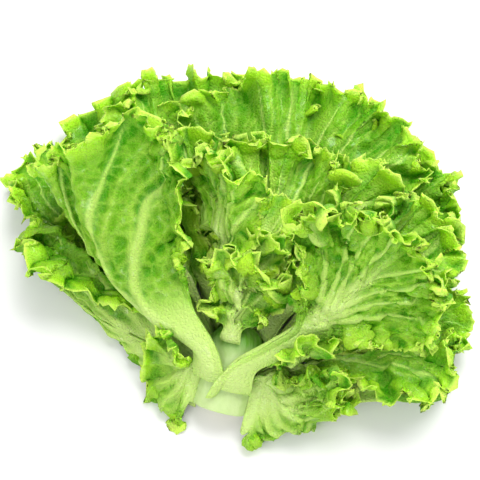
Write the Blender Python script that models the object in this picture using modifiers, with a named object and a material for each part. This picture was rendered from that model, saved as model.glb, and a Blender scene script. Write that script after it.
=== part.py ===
"""A whole head of curly leaf lettuce, cut at the stem and lying on its side.

Metres, +Z up, seen from -Y and above. The stem is cut at the near end and points away and up.
Each leaf is a thin closed sheet that fans out from a thick stalk and ends in a waved rim.
The leaves are laid from the heart outwards, and each is pressed clear of those inside it.
"""

import math
from dataclasses import dataclass

import bmesh
import bpy
import numpy as np

OBJECT_NAME = "CurlyLeafLettuce"
MM = 0.001

# The head's frame: the middle of the stem's dome, and where its axis points (millimetres, degrees)
STEM_CENTRE = (0.9, -73.1, 24.0)
AXIS_RISE = 24.0
AXIS_HEADING = 16.0

# The cut stem: a stalk below the middle of its dome, and the gap that the leaves keep to it
STEM_RADIUS = 16.0
STEM_LENGTH = 40.0
STEM_SIDES = 40
DOME_RINGS = 6
STEM_GAP = 0.4

# Sheet thickness
BLADE_THICK = 0.8
STALK_THICK = 1.7
STALK_HALF_WIDTH = 5.0
LONG_LEAF = 150.0

# How far a leaf may wrap round the axis (radians each way), and the share that twists
MOST_WRAP = 1.6
TWIST_SHARE = 0.35

# Places of the roots down the stem
FIRST_SEAT = 2.0
SEAT_GAP = 0.6
SEAT_RINGS = 4

# How a leaf is pressed clear: cuts in each cell, rounds, least move, and share kept up the leaf
FINE_CUTS = 8
MOST_PUSHES = 30
LEAST_PUSH = 0.1
PUSH_KEPT = 0.9

# Waves of the rim
WAVE_LENGTH = 44.0
WAVE_HEIGHT = 5.5
NOTCH_DEPTH = 2.2
ROLL = 7.0

# Room left between a leaf and those inside it, at the root and at the rim
ROOT_ROOM = 0.5
RIM_ROOM = 2.4

# How the underside is squeezed by the head's weight, and how high the squeezed head is lifted
SETTLE_DEPTH = 20.0
SETTLE_SLOPE = 0.35
LIFT = -4.5
FLOOR_NEAR = 15.0

GOLDEN_TURN = 137.508


@dataclass(frozen=True)
class Leaf:
    """One leaf: degrees round the axis, degrees away from it, and sizes in millimetres.

    Its blade fans out by the spread each way. It is flat or wraps the axis, bows in or out
    towards the rim, swings to a side in its own plane, and twists about its stalk. Its root
    sits lower on the stem than it must, by the drop.
    """

    name: str
    turn: float
    lean: float
    length: float
    spread: float
    stalk_share: float = 0.2
    flat: float = 0.3
    bow: float = 0.0
    swing: float = 0.0
    twist: float = 0.0
    columns: int = 24
    wave: float = 1.0
    stalk: float = 1.0
    drop: float = 0.0


# From the heart outwards. Turn 0 is to the right, 90 is towards the viewer, 180 is to the left.
LEAVES = (
    Leaf("heart_leaf_1", 70, 5, 50, 34, columns=16, flat=0.0, wave=0.5),
    Leaf("heart_leaf_2", 207, 7, 58, 34, columns=16, flat=0.0, wave=0.5),
    Leaf("heart_leaf_3", 345, 9, 64, 34, columns=16, flat=0.0, wave=0.6),
    Leaf("heart_leaf_4", 122, 11, 66, 34, columns=16, flat=0.0, wave=0.6),
    Leaf("heart_leaf_5", 262, 11, 88, 34, columns=16, flat=0.1, wave=0.6),
    Leaf("inner_leaf_1", 20, 34, 58, 34, columns=16, flat=0.1, wave=0.6, twist=-15),
    Leaf("inner_leaf_2", 152, 18, 108, 36, columns=16, flat=0.3, wave=0.8, twist=20),
    Leaf("inner_leaf_3", -87, 11, 128, 36, flat=0.2),
    Leaf("inner_leaf_4", -32, 20, 132, 36, columns=16, flat=0.4, wave=0.9, twist=25),
    Leaf("inner_leaf_5", -148, 20, 132, 36, columns=16, flat=0.4, wave=0.9, twist=-25),
    Leaf("inner_leaf_6", 100, 10, 58, 42, 0.1, columns=16, flat=0.2, wave=0.7, stalk=1.8, drop=14),
    Leaf("middle_leaf_1", -168, 38, 150, 36, columns=16, flat=0.5, twist=-40),
    Leaf("middle_leaf_2", -12, 38, 142, 36, columns=16, flat=0.5, twist=40),
    Leaf("outer_leaf_1", -88, 17, 188, 36, flat=0.7),
    Leaf("outer_leaf_2", -131, 24, 196, 36, flat=0.7, twist=-32),
    Leaf("outer_leaf_3", -54, 23, 180, 36, flat=0.7, twist=25),
    Leaf("front_leaf_left", 122, 22, 180, 38, 0.24, columns=32, flat=0.9, swing=36, stalk=1.7, drop=22),
    Leaf("front_leaf_right", 77, 22, 155, 52, 0.4, columns=32, flat=0.9, swing=-31, twist=-6, stalk=1.7),
    Leaf("small_leaf_1", 28, 46, 58, 42, columns=16, flat=0.6, wave=0.8, twist=30, drop=14),
    Leaf("outer_leaf_4", -155, 42, 194, 36, flat=0.7, twist=-52),
    Leaf("outer_leaf_5", -36, 36, 152, 36, flat=0.7, twist=45),
    Leaf("outer_leaf_6", -172, 50, 150, 36, 0.16, flat=0.7, twist=-60),
    Leaf("outer_leaf_7", -22, 46, 146, 38, 0.14, flat=0.7, twist=58),
    Leaf("small_leaf_2", 168, 30, 52, 38, columns=16, flat=0.6, wave=0.8, twist=-30),
    Leaf("outer_leaf_8", -4, 50, 132, 40, 0.12, flat=0.7, twist=62),
    Leaf("outer_leaf_9", 14, 36, 76, 38, 0.12, columns=16, flat=0.7, twist=60),
)

# Rows from the root to the rim, and how many columns are merged into one in each
ROWS_FINE = ((0.0, 4), (0.12, 4), (0.26, 4), (0.42, 2), (0.58, 2), (0.72, 1), (0.85, 1), (0.94, 1), (1.0, 1))
ROWS_PLAIN = ((0.0, 4), (0.14, 4), (0.3, 2), (0.48, 2), (0.68, 1), (0.86, 1), (1.0, 1))


def axis_frame():
    """Return unit vectors to the right, towards the viewer, and along the stem's axis."""
    rise = math.radians(AXIS_RISE)
    heading = math.radians(AXIS_HEADING)
    axis = np.array([
        math.cos(rise) * math.sin(heading),
        math.cos(rise) * math.cos(heading),
        math.sin(rise),
    ])
    right = np.array([math.cos(heading), -math.sin(heading), 0.0])
    return right, np.cross(right, axis), axis


RIGHT, TOWARDS, AXIS = axis_frame()


def to_world(across, over, height):
    """Turn distances along the head's three directions into points, in millimetres."""
    parts = np.multiply.outer(across, RIGHT) + np.multiply.outer(over, TOWARDS)
    return parts + np.multiply.outer(height, AXIS) + np.array(STEM_CENTRE)


def to_shells(points):
    """Return each point's distance from the stem's core, its way down that shell, and its turn.

    The shells round the core are cylinders below its top and half spheres above it. The way
    down starts at the axis, runs over the dome and goes on down the cylinder.
    """
    offset = points - np.array(STEM_CENTRE)
    across = offset @ RIGHT
    over = offset @ TOWARDS
    height = offset @ AXIS
    aside = np.hypot(across, over)
    shell = np.hypot(aside, np.maximum(height, 0.0))
    dome = shell * np.arctan2(aside, height)
    down = np.where(height > 0.0, dome, shell * math.pi / 2 - height)
    return shell, down, np.arctan2(over, across)


def from_shells(shell, down, turn):
    """Return points from distance to the core, way down the shell, and turn."""
    angle = np.clip(down / shell, 0.0, math.pi / 2)
    height = shell * np.cos(angle) - np.maximum(down - shell * math.pi / 2, 0.0)
    aside = shell * np.sin(angle)
    return to_world(aside * np.cos(turn), aside * np.sin(turn), height)


def soft_step(low, high, value):
    """Return 0 below low, 1 above high, and a smooth rise between them."""
    share = np.clip((value - low) / (high - low), 0.0, 1.0)
    return share * share * (3.0 - 2.0 * share)


def leaf_rows(leaf):
    """Return the leaf's rows, from root to rim, with the columns merged in each."""
    return ROWS_FINE if leaf.columns > 16 else ROWS_PLAIN


def stalk_half_width(leaf):
    """Return half the width of a leaf's stalk."""
    return STALK_HALF_WIDTH * leaf.stalk * min(1.0, max(0.45, leaf.length / LONG_LEAF))


def stalk_thickness(leaf):
    """Return the thickness of a leaf's stalk at its root."""
    return STALK_THICK * leaf.stalk * min(1.0, max(0.6, leaf.length / LONG_LEAF))


def flat_outline(leaf):
    """Return the flat leaf's grid: distances aside and forward, and shares of blade, side, length."""
    side = np.linspace(-1.0, 1.0, leaf.columns + 1)[None, :]
    along = np.array([row for row, _ in leaf_rows(leaf)])[:, None]
    fan_start = leaf.stalk_share * leaf.length
    blade = np.clip((along - leaf.stalk_share) / (1.0 - leaf.stalk_share), 0.0, 1.0)
    half_width = stalk_half_width(leaf)
    angle = side * math.radians(leaf.spread)
    reach = (leaf.length - fan_start) * (1.0 - 0.16 * np.abs(side) ** 2.4)
    reach = reach - NOTCH_DEPTH * leaf.wave * (1.0 + np.cos(math.pi * leaf.columns / 2 * side)) * blade**2
    aside = side * half_width * (1.0 - blade) + reach * blade * np.sin(angle)
    forward = np.minimum(along / leaf.stalk_share, 1.0) * fan_start + reach * blade * np.cos(angle)
    shape = aside.shape
    return aside, forward, *(np.broadcast_to(share, shape) for share in (blade, side, along))


def leaf_waves(leaf, index, blade, side):
    """Return how far the rim's waves and its outward roll lift the sheet, in millimetres."""
    rim = 2.0 * math.radians(leaf.spread) * leaf.length * (1.0 - leaf.stalk_share)
    count = rim / WAVE_LENGTH
    phase = math.radians(GOLDEN_TURN * (index + 1))
    swell = np.sin(math.pi * count * side + phase)
    swell = swell + 0.5 * np.sin(math.pi * count * 1.7 * side + 2.3 * phase)
    return leaf.wave * (WAVE_HEIGHT * blade**2.2 * swell + ROLL * blade**5)


def root_place(down):
    """Return distance from the axis and height of the stem's surface, by the way down it."""
    radius = STEM_RADIUS + STEM_GAP
    angle = min(down / radius, math.pi / 2)
    return radius * math.sin(angle), radius * math.cos(angle) - max(down - radius * math.pi / 2, 0.0)


def free_sheet(leaf, index, root_down):
    """Return the leaf's points before its neighbours press on it: a fan bent round the axis."""
    aside, forward, blade, side, along = flat_outline(leaf)
    swing = math.radians(leaf.swing) * soft_step(0.0, TWIST_SHARE, along)
    aside, forward = (
        aside * np.cos(swing) + forward * np.sin(swing),
        forward * np.cos(swing) - aside * np.sin(swing),
    )
    lean = np.radians(leaf.lean + leaf.bow * blade**2)
    root_out, root_height = root_place(root_down)
    out = root_out + forward * np.sin(lean)
    widest = np.abs(aside).max(axis=1, keepdims=True)
    bend = (1.0 - leaf.flat) * np.cos(lean) / np.maximum(out, 1.0)
    bend = np.clip(bend, 0.0005, MOST_WRAP / widest)
    outwards = leaf_waves(leaf, index, blade, side) - (1.0 - np.cos(bend * aside)) / bend
    sideways = np.sin(bend * aside) / bend
    twist = math.radians(leaf.twist) * soft_step(0.0, TWIST_SHARE, along)
    sideways, outwards = (
        sideways * np.cos(twist) - outwards * np.sin(twist),
        sideways * np.sin(twist) + outwards * np.cos(twist),
    )
    out = out + outwards * np.cos(lean)
    height = root_height + forward * np.cos(lean) - outwards * np.sin(lean)
    turn = math.radians(leaf.turn)
    across = out * np.cos(turn) - sideways * np.sin(turn)
    over = out * np.sin(turn) + sideways * np.cos(turn)
    return to_world(across, over, height), blade


def sheet_thickness(leaf):
    """Return the sheet's thickness over its grid: a thick stalk that thins into the blade."""
    aside, _, blade, _, _ = flat_outline(leaf)
    rib = np.exp(-((aside / (stalk_half_width(leaf) * 0.8)) ** 2))
    stalk = (1.0 - soft_step(0.0, 0.75, blade)) * (0.35 + 0.65 * rib)
    return BLADE_THICK + (stalk_thickness(leaf) - BLADE_THICK) * np.clip(stalk, 0.0, 1.0)


def fill_merged(leaf, points):
    """Put the merged columns' points on the straight line between the ones that are kept."""
    filled = points.copy()
    for row, (_, step) in enumerate(leaf_rows(leaf)):
        for column in range(leaf.columns + 1):
            rest = column % step
            if rest:
                near = points[row, column - rest]
                far = points[row, column - rest + step]
                filled[row, column] = near + (far - near) * rest / step
    return filled


def subdivide(grid, times):
    """Return the grid with each cell cut evenly, by straight lines both ways."""
    rows = np.linspace(0, grid.shape[0] - 1, (grid.shape[0] - 1) * times + 1)
    low = np.minimum(rows.astype(int), grid.shape[0] - 2)
    part = (rows - low).reshape((-1,) + (1,) * (grid.ndim - 1))
    grid = grid[low] * (1 - part) + grid[low + 1] * part
    columns = np.linspace(0, grid.shape[1] - 1, (grid.shape[1] - 1) * times + 1)
    low = np.minimum(columns.astype(int), grid.shape[1] - 2)
    part = (columns - low).reshape((1, -1) + (1,) * (grid.ndim - 2))
    return grid[:, low] * (1 - part) + grid[:, low + 1] * part


def neighbour_stack(values):
    """Return each cell's nine neighbours, with the edge cells repeated."""
    padded = np.pad(values, 1, mode="edge")
    rows, columns = values.shape
    return [padded[i:i + rows, j:j + columns] for i in range(3) for j in range(3)]


def spread_out(values, times):
    """Return a smooth field that is nowhere less than the given one."""
    for _ in range(times):
        values = np.max(neighbour_stack(values), axis=0)
    for _ in range(times):
        values = np.mean(neighbour_stack(values), axis=0)
    return values


def sheet_normals(points):
    """Return unit normals of a grid that point away from the head's axis."""
    along = np.gradient(points, axis=0)
    across = np.gradient(points, axis=1)
    normal = np.cross(along, across)
    return normal / np.maximum(np.linalg.norm(normal, axis=-1, keepdims=True), 1e-9)


class Reach:
    """How far down each shell the leaves laid so far come, by shell and by turn."""

    STEP = 0.75
    SHELLS = 290

    def __init__(self):
        """Start with nothing laid."""
        self.down = np.zeros((self.SHELLS, 360))

    def cells(self, shell, turn):
        """Return the map's cell for each point."""
        ring = np.clip((shell / self.STEP).astype(int), 0, self.SHELLS - 1)
        return ring, np.floor(np.degrees(turn)).astype(int) % 360

    def lay(self, points):
        """Mark the points of a leaf that is now in its place."""
        shell, down, turn = to_shells(points.reshape(-1, 3))
        np.maximum.at(self.down, self.cells(shell, turn), down)

    def grown(self):
        """Return the map with each cell raised to its neighbours' height."""
        rings = np.maximum(self.down, np.vstack([self.down[1:], self.down[-1:]]))
        rings = np.maximum(rings, np.vstack([self.down[:1], self.down[:-1]]))
        return np.maximum(rings, np.maximum(np.roll(rings, 1, 1), np.roll(rings, -1, 1)))

    def seat(self, leaf):
        """Return how far down the stem a new leaf's root goes, just below the roots above it."""
        half = math.degrees(stalk_half_width(leaf) / STEM_RADIUS)
        around = np.arange(int(leaf.turn - half), int(leaf.turn + half) + 1) % 360
        surface = int(STEM_RADIUS / self.STEP)
        below = max(float(self.down[surface:surface + SEAT_RINGS, around].max()), FIRST_SEAT) + SEAT_GAP
        return below + leaf.drop


def press_clear(leaf, sheet, blade, reach):
    """Slide the leaf's grid down the shells until all of it clears the leaves inside it."""
    shell, down, turn = to_shells(sheet)
    shell = np.maximum(shell, STEM_RADIUS + STEM_GAP)
    grown = reach.grown()
    room = subdivide(ROOT_ROOM + (RIM_ROOM - ROOT_ROOM) * blade, FINE_CUTS)
    push = np.zeros_like(down)
    rows, columns = push.shape
    for _ in range(MOST_PUSHES):
        points = fill_merged(leaf, from_shells(shell, down + push, turn))
        ring, way, where = to_shells(subdivide(points, FINE_CUTS))
        behind = grown[reach.cells(ring, where)]
        lack = np.where(behind > 0.0, np.maximum(behind + room - way, 0.0), 0.0)
        cells = lack[:-1, :-1].reshape(rows - 1, FINE_CUTS, columns - 1, FINE_CUTS).max(axis=(1, 3))
        need = np.zeros_like(push)
        for i in (0, 1):
            for j in (0, 1):
                part = need[i:rows - 1 + i, j:columns - 1 + j]
                np.maximum(part, cells, out=part)
        if need.max() < LEAST_PUSH:
            break
        push = push + spread_out(need, 1)
        for row in range(1, rows):
            push[row] = np.maximum(push[row], PUSH_KEPT * push[row - 1])
    return points


def settle(points):
    """Squeeze the head's underside, which its own weight flattens, and lift it to the floor."""
    settled = points.copy()
    height = points[..., 2]
    soft = SETTLE_DEPTH * np.logaddexp(0.0, height / SETTLE_DEPTH)
    settled[..., 2] = SETTLE_SLOPE * height + (1.0 - SETTLE_SLOPE) * soft + LIFT
    return settled


def rest_on_floor(points, thickness):
    """Lay the lowest places flat on the floor, with the sheet's thickness under them."""
    resting = points.copy()
    height = points[..., 2]
    near = 1.0 - soft_step(0.0, FLOOR_NEAR, height)
    resting[..., 2] = np.maximum(height, 0.0) + thickness * near
    return resting


def arrange_leaves():
    """Lay all the leaves in order and return each one's grid of points and thickness."""
    reach = Reach()
    laid = []
    for index, leaf in enumerate(LEAVES):
        sheet, blade = free_sheet(leaf, index, reach.seat(leaf))
        points = press_clear(leaf, sheet, blade, reach)
        thickness = sheet_thickness(leaf)
        outside = points + sheet_normals(points) * thickness[..., None]
        reach.lay(subdivide(points, FINE_CUTS))
        reach.lay(subdivide(outside, FINE_CUTS))
        laid.append((leaf, rest_on_floor(settle(points), thickness), thickness))
    return laid


def make_material(name, colour, roughness):
    """Return a plain material."""
    material = bpy.data.materials.new(name)
    material.use_nodes = True
    shader = material.node_tree.nodes["Principled BSDF"]
    shader.inputs["Base Color"].default_value = (*colour, 1.0)
    shader.inputs["Roughness"].default_value = roughness
    shader.inputs["Metallic"].default_value = 0.0
    material.diffuse_color = (*colour, 1.0)
    return material


def leaf_mesh(leaf, points):
    """Return the leaf's sheet: a grid whose columns merge towards the stalk."""
    rows = leaf_rows(leaf)
    mesh = bmesh.new()
    bmesh.ops.create_grid(mesh, x_segments=leaf.columns, y_segments=len(rows) - 1, size=1.0)
    places = {}
    for vertex in mesh.verts:
        column = round((vertex.co.x + 1.0) / 2.0 * leaf.columns)
        row = round((vertex.co.y + 1.0) / 2.0 * (len(rows) - 1))
        places[row, column] = vertex
    merged = {}
    for (row, column), vertex in places.items():
        vertex.co = points[row, column] * MM
        rest = column % rows[row][1]
        if rest:
            merged[vertex] = places[row, column - rest]
    bmesh.ops.weld_verts(mesh, targetmap=merged)
    bmesh.ops.triangulate(mesh, faces=mesh.faces[:], quad_method="SHORT_EDGE")
    data = bpy.data.meshes.new(leaf.name)
    mesh.to_mesh(data)
    mesh.free()
    return data


def thickness_weights(body, points, thickness):
    """Store each vertex's share of the stalk's thickness in a vertex group."""
    group = body.vertex_groups.new(name="thickness")
    places = points.reshape(-1, 3) * MM
    shares = (thickness / thickness.max()).reshape(-1)
    for vertex in body.data.vertices:
        nearest = np.argmin(np.sum((places - np.array(vertex.co)) ** 2, axis=1))
        group.add([vertex.index], float(shares[nearest]), "REPLACE")
    return group


def add_leaf(leaf, points, thickness, material, collection):
    """Add one leaf as a closed sheet that thickens away from the head's axis."""
    data = leaf_mesh(leaf, points)
    data.materials.append(material)
    body = bpy.data.objects.new(leaf.name, data)
    collection.objects.link(body)
    group = thickness_weights(body, points, thickness)
    solid = body.modifiers.new("Thickness", "SOLIDIFY")
    solid.thickness = float(thickness.max()) * MM
    solid.offset = -1.0
    solid.vertex_group = group.name
    solid.use_even_offset = False
    return body


def add_stem(material, collection):
    """Add the cut stem: a turned stalk with a domed top, trimmed flat where it lies."""
    profile = [(0.0, -STEM_LENGTH), (STEM_RADIUS - 1.0, -STEM_LENGTH), (STEM_RADIUS, 1.0 - STEM_LENGTH)]
    for step in range(DOME_RINGS):
        turn = math.pi / 2 * step / DOME_RINGS
        profile.append((STEM_RADIUS * math.cos(turn), STEM_RADIUS * math.sin(turn)))
    profile.append((0.0, STEM_RADIUS))
    mesh = bmesh.new()
    corners = [mesh.verts.new((radius * MM, 0.0, height * MM)) for radius, height in profile]
    edges = [mesh.edges.new(pair) for pair in zip(corners, corners[1:])]
    bmesh.ops.spin(
        mesh, geom=corners + edges, axis=(0, 0, 1), cent=(0, 0, 0),
        angle=2 * math.pi, steps=STEM_SIDES, use_merge=True,
    )
    bmesh.ops.remove_doubles(mesh, verts=mesh.verts[:], dist=MM / 100)
    for vertex in mesh.verts:
        vertex.co = settle(to_world(*(np.array(vertex.co) / MM))) * MM
    bmesh.ops.recalc_face_normals(mesh, faces=mesh.faces[:])
    data = bpy.data.meshes.new("stem")
    mesh.to_mesh(data)
    mesh.free()
    data.materials.append(material)
    body = bpy.data.objects.new("stem", data)
    collection.objects.link(body)
    return body


def clear_scene():
    """Remove whatever the scene holds."""
    for item in list(bpy.data.objects):
        bpy.data.objects.remove(item, do_unlink=True)


def main():
    """Build the head."""
    clear_scene()
    collection = bpy.data.collections.new(OBJECT_NAME)
    bpy.context.scene.collection.children.link(collection)
    greens = {
        "heart": make_material("heart_leaf", (0.45, 0.62, 0.12), 0.45),
        "inner": make_material("inner_leaf", (0.36, 0.58, 0.09), 0.45),
        "outer": make_material("outer_leaf", (0.26, 0.5, 0.06), 0.45),
    }
    greens["middle"] = greens["inner"]
    greens["small"] = greens["front"] = greens["outer"]
    add_stem(make_material("stem", (0.72, 0.8, 0.45), 0.5), collection)
    for leaf, points, thickness in arrange_leaves():
        add_leaf(leaf, points, thickness, greens[leaf.name.split("_")[0]], collection)


main()
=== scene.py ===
"""Dresses a head of curly leaf lettuce: finely frilled, blistered and veined leaves on a cut stem.

The head lies on its side, in metres, +Z up, seen from -Y and above. Each leaf repeats the sheet
of the solid that it replaces, with many more cells, and is then ruffled, notched and veined.
"""

import math
from dataclasses import dataclass

import bpy
import numpy as np
from bpy.props import FloatProperty, FloatVectorProperty, PointerProperty
from mathutils import Matrix, Vector


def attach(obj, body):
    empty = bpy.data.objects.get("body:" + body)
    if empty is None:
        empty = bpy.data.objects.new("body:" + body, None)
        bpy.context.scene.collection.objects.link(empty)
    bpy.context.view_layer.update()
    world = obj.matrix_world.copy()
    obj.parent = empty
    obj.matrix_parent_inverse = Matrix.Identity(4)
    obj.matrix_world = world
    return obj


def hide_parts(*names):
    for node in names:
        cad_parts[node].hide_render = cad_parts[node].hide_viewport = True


bl_info = {
    "name": "Curly Leaf Lettuce",
    "version": (1, 0, 0),
    "blender": (4, 5, 0),
    "location": "View3D > Sidebar > Lettuce",
    "description": "Builds the frilled leaves, the cut stem and a plain stage",
    "category": "Add Mesh",
}

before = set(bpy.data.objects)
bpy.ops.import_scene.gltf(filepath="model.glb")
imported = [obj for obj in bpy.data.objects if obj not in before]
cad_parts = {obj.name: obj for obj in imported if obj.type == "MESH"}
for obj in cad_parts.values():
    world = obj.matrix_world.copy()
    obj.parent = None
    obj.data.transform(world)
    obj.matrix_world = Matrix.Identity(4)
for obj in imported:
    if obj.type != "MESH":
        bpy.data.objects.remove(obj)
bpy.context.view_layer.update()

MM = 0.001

# The head's frame: the middle of the stem's dome, and where its axis points (millimetres, degrees)
STEM_CENTRE = (0.9, -73.1, 24.0)
AXIS_RISE = 24.0
AXIS_HEADING = 16.0

# The cut stem: a stalk below the middle of its dome, and the gap that the leaves keep to it
STEM_RADIUS = 16.0
STEM_LENGTH = 40.0
STEM_GAP = 0.4

# Sheet thickness, the stalk of a long leaf, and the least share of it that a short leaf has
BLADE_THICK = 0.8
STALK_THICK = 1.7
STALK_HALF_WIDTH = 5.0
LONG_LEAF = 150.0
LEAST_WIDTH = 0.45
LEAST_THICK = 0.6

# The stalk's rib, how much of its thickness it has beside the rib, and where on the blade it ends
RIB_SHARE = 0.8
BESIDE_RIB = 0.35
STALK_END = 0.75

# How far a leaf may wrap round the axis (radians each way), its least bend (per millimetre), and
# the share of its length over which it twists and swings
MOST_WRAP = 1.6
LEAST_BEND = 0.0005
TWIST_SHARE = 0.35

# Places of the roots down the stem
FIRST_SEAT = 2.0
SEAT_GAP = 0.6
SEAT_RINGS = 4

# How a leaf is pressed clear: cuts in each cell, rounds, least move, and share kept up the leaf
FINE_CUTS = 8
MOST_PUSHES = 30
LEAST_PUSH = 0.1
PUSH_KEPT = 0.9

# Waves of the rim, a second set that is lower and closer, and how late on the blade they rise
WAVE_LENGTH = 44.0
WAVE_HEIGHT = 5.5
SECOND_HEIGHT = 0.5
SECOND_PACE = 1.7
SECOND_PHASE = 2.3
WAVE_RISE = 2.2

# The blade's outline: notches between the waves, the outward roll, and how much shorter its sides are
NOTCH_DEPTH = 2.2
ROLL = 7.0
ROLL_RISE = 5
SIDE_SHORTER = 0.16
SIDE_CURVE = 2.4

# Room left between a leaf and those inside it, at the root and at the rim
ROOT_ROOM = 0.5
RIM_ROOM = 2.4

# How the underside is squeezed by the head's weight, how high the squeezed head is lifted, and the
# height from which the sheets near the floor are lifted by their own thickness
SETTLE_DEPTH = 20.0
SETTLE_SLOPE = 0.35
LIFT = -4.5
FLOOR_NEAR = 15.0

# Degrees by which the rim's waves are shifted from each leaf to the next
GOLDEN_TURN = 137.508

# The camera: degrees above the floor, metres away, lens and sensor in millimetres, nearest view in
# metres, and its aim from the stem in millimetres
CAMERA_RISE = 66.0
CAMERA_AWAY = 1.0
CAMERA_LENS = 122.0
CAMERA_SENSOR = 36.0
CAMERA_NEAR = 0.05
CAMERA_UP = 66.0
CAMERA_RIGHT = 2.5

# The stage: the floor's width, roughness and faint darker haze, and each lamp's place, aim and
# width, in metres
FLOOR_WIDTH = 6.0
FLOOR_ROUGHNESS = 0.9
FLOOR_HAZE = 0.985
KEY_LAMP = ((0.45, 0.65, 1.2), (0.0, 0.0, 0.03), 1.4)
FILL_LAMP = ((-0.5, -0.9, 1.0), (0.0, 0.0, 0.05), 0.9)

# The dressed stem: cells round and along, how far it stands proud so that the stalks join it, and
# how near two points are to be merged (millimetres)
STEM_CELLS = (120, 90)
STEM_PROUD = 0.9
MERGE_GAP = 0.02

# The share of the stem's rows that are on its cut, and the rounded edge of the cut
CUT_SHARE = 0.22
CUT_EDGE = 1.6
EDGE_SHARE = 0.06

# The stem's flutes: how many in half a turn, height and seed
FLUTES = ((8.0, 0.5, 71), (16.0, 0.25, 72))

# The scars of lost leaves round the stem: distance down it, slant, height and seed
SCAR_GAP = 4.5
SCAR_SLANT = 1.2
SCAR_HEIGHT = 0.5
SCAR_SEED = 73

# The cut face: how far its middle is sunk, and its roughness
CUT_SUNK = 0.7
CUT_ROUGH = 0.15
CUT_SEED = 74

# Heights between which the stem's side turns into its green crown
CROWN_START = -6.0
CROWN_END = 8.0


@dataclass(frozen=True)
class Look:
    """How a kind of leaf differs: its slot, shade, frill, blisters, and where its pale foot ends."""

    slot: str
    shade: float
    frill: float
    blister: float
    foot: float


LOOKS = {
    "heart": Look("heart_leaf", 0.6, 0.8, 0.6, 0.3),
    "inner": Look("inner_leaf", 0.55, 1.08, 0.9, 0.3),
    "middle": Look("inner_leaf", 0.4, 1.08, 0.9, 0.35),
    "outer": Look("outer_leaf", 0.5, 1.1, 1.0, 0.35),
    "front": Look("outer_leaf", 0.6, 1.0, 1.15, 0.3),
    "small": Look("outer_leaf", 0.55, 0.8, 0.8, 0.3),
}


@dataclass(frozen=True)
class Leaf:
    """One leaf: degrees round the axis, degrees away from it, and sizes in millimetres.

    Its blade fans out by the spread each way. It is flat or wraps the axis, swings to a side in
    its own plane, and twists about its stalk. Its root sits lower on the stem than it must, by
    the drop.
    """

    name: str
    turn: float
    lean: float
    length: float
    spread: float
    stalk_share: float = 0.2
    flat: float = 0.3
    swing: float = 0.0
    twist: float = 0.0
    columns: int = 24
    wave: float = 1.0
    stalk: float = 1.0
    drop: float = 0.0


# From the heart outwards. Turn 0 is to the right, 90 is towards the viewer, 180 is to the left.
LEAVES = (
    Leaf("heart_leaf_1", 70, 5, 50, 34, columns=16, flat=0.0, wave=0.5),
    Leaf("heart_leaf_2", 207, 7, 58, 34, columns=16, flat=0.0, wave=0.5),
    Leaf("heart_leaf_3", 345, 9, 64, 34, columns=16, flat=0.0, wave=0.6),
    Leaf("heart_leaf_4", 122, 11, 66, 34, columns=16, flat=0.0, wave=0.6),
    Leaf("heart_leaf_5", 262, 11, 88, 34, columns=16, flat=0.1, wave=0.6),
    Leaf("inner_leaf_1", 20, 34, 58, 34, columns=16, flat=0.1, wave=0.6, twist=-15),
    Leaf("inner_leaf_2", 152, 18, 108, 36, columns=16, flat=0.3, wave=0.8, twist=20),
    Leaf("inner_leaf_3", -87, 11, 128, 36, flat=0.2),
    Leaf("inner_leaf_4", -32, 20, 132, 36, columns=16, flat=0.4, wave=0.9, twist=25),
    Leaf("inner_leaf_5", -148, 20, 132, 36, columns=16, flat=0.4, wave=0.9, twist=-25),
    Leaf("inner_leaf_6", 100, 10, 58, 42, 0.1, columns=16, flat=0.2, wave=0.7, stalk=1.8, drop=14),
    Leaf("middle_leaf_1", -168, 38, 150, 36, columns=16, flat=0.5, twist=-40),
    Leaf("middle_leaf_2", -12, 38, 142, 36, columns=16, flat=0.5, twist=40),
    Leaf("outer_leaf_1", -88, 17, 188, 36, flat=0.7),
    Leaf("outer_leaf_2", -131, 24, 196, 36, flat=0.7, twist=-32),
    Leaf("outer_leaf_3", -54, 23, 180, 36, flat=0.7, twist=25),
    Leaf("front_leaf_left", 122, 22, 180, 38, 0.24, columns=32, flat=0.9, swing=36, stalk=1.7, drop=22),
    Leaf("front_leaf_right", 77, 22, 155, 52, 0.4, columns=32, flat=0.9, swing=-31, twist=-6, stalk=1.7),
    Leaf("small_leaf_1", 28, 46, 58, 42, columns=16, flat=0.6, wave=0.8, twist=30, drop=14),
    Leaf("outer_leaf_4", -155, 42, 194, 36, flat=0.7, twist=-52),
    Leaf("outer_leaf_5", -36, 36, 152, 36, flat=0.7, twist=45),
    Leaf("outer_leaf_6", -172, 50, 150, 36, 0.16, flat=0.7, twist=-60),
    Leaf("outer_leaf_7", -22, 46, 146, 38, 0.14, flat=0.7, twist=58),
    Leaf("small_leaf_2", 168, 30, 52, 38, columns=16, flat=0.6, wave=0.8, twist=-30),
    Leaf("outer_leaf_8", -4, 50, 132, 40, 0.12, flat=0.7, twist=62),
    Leaf("outer_leaf_9", 14, 36, 76, 38, 0.12, columns=16, flat=0.7, twist=60),
)

# Rows from the root to the rim, and how many columns are merged into one in each
ROWS_FINE = ((0.0, 4), (0.12, 4), (0.26, 4), (0.42, 2), (0.58, 2), (0.72, 1), (0.85, 1), (0.94, 1), (1.0, 1))
ROWS_PLAIN = ((0.0, 4), (0.14, 4), (0.3, 2), (0.48, 2), (0.68, 1), (0.86, 1), (1.0, 1))

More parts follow.
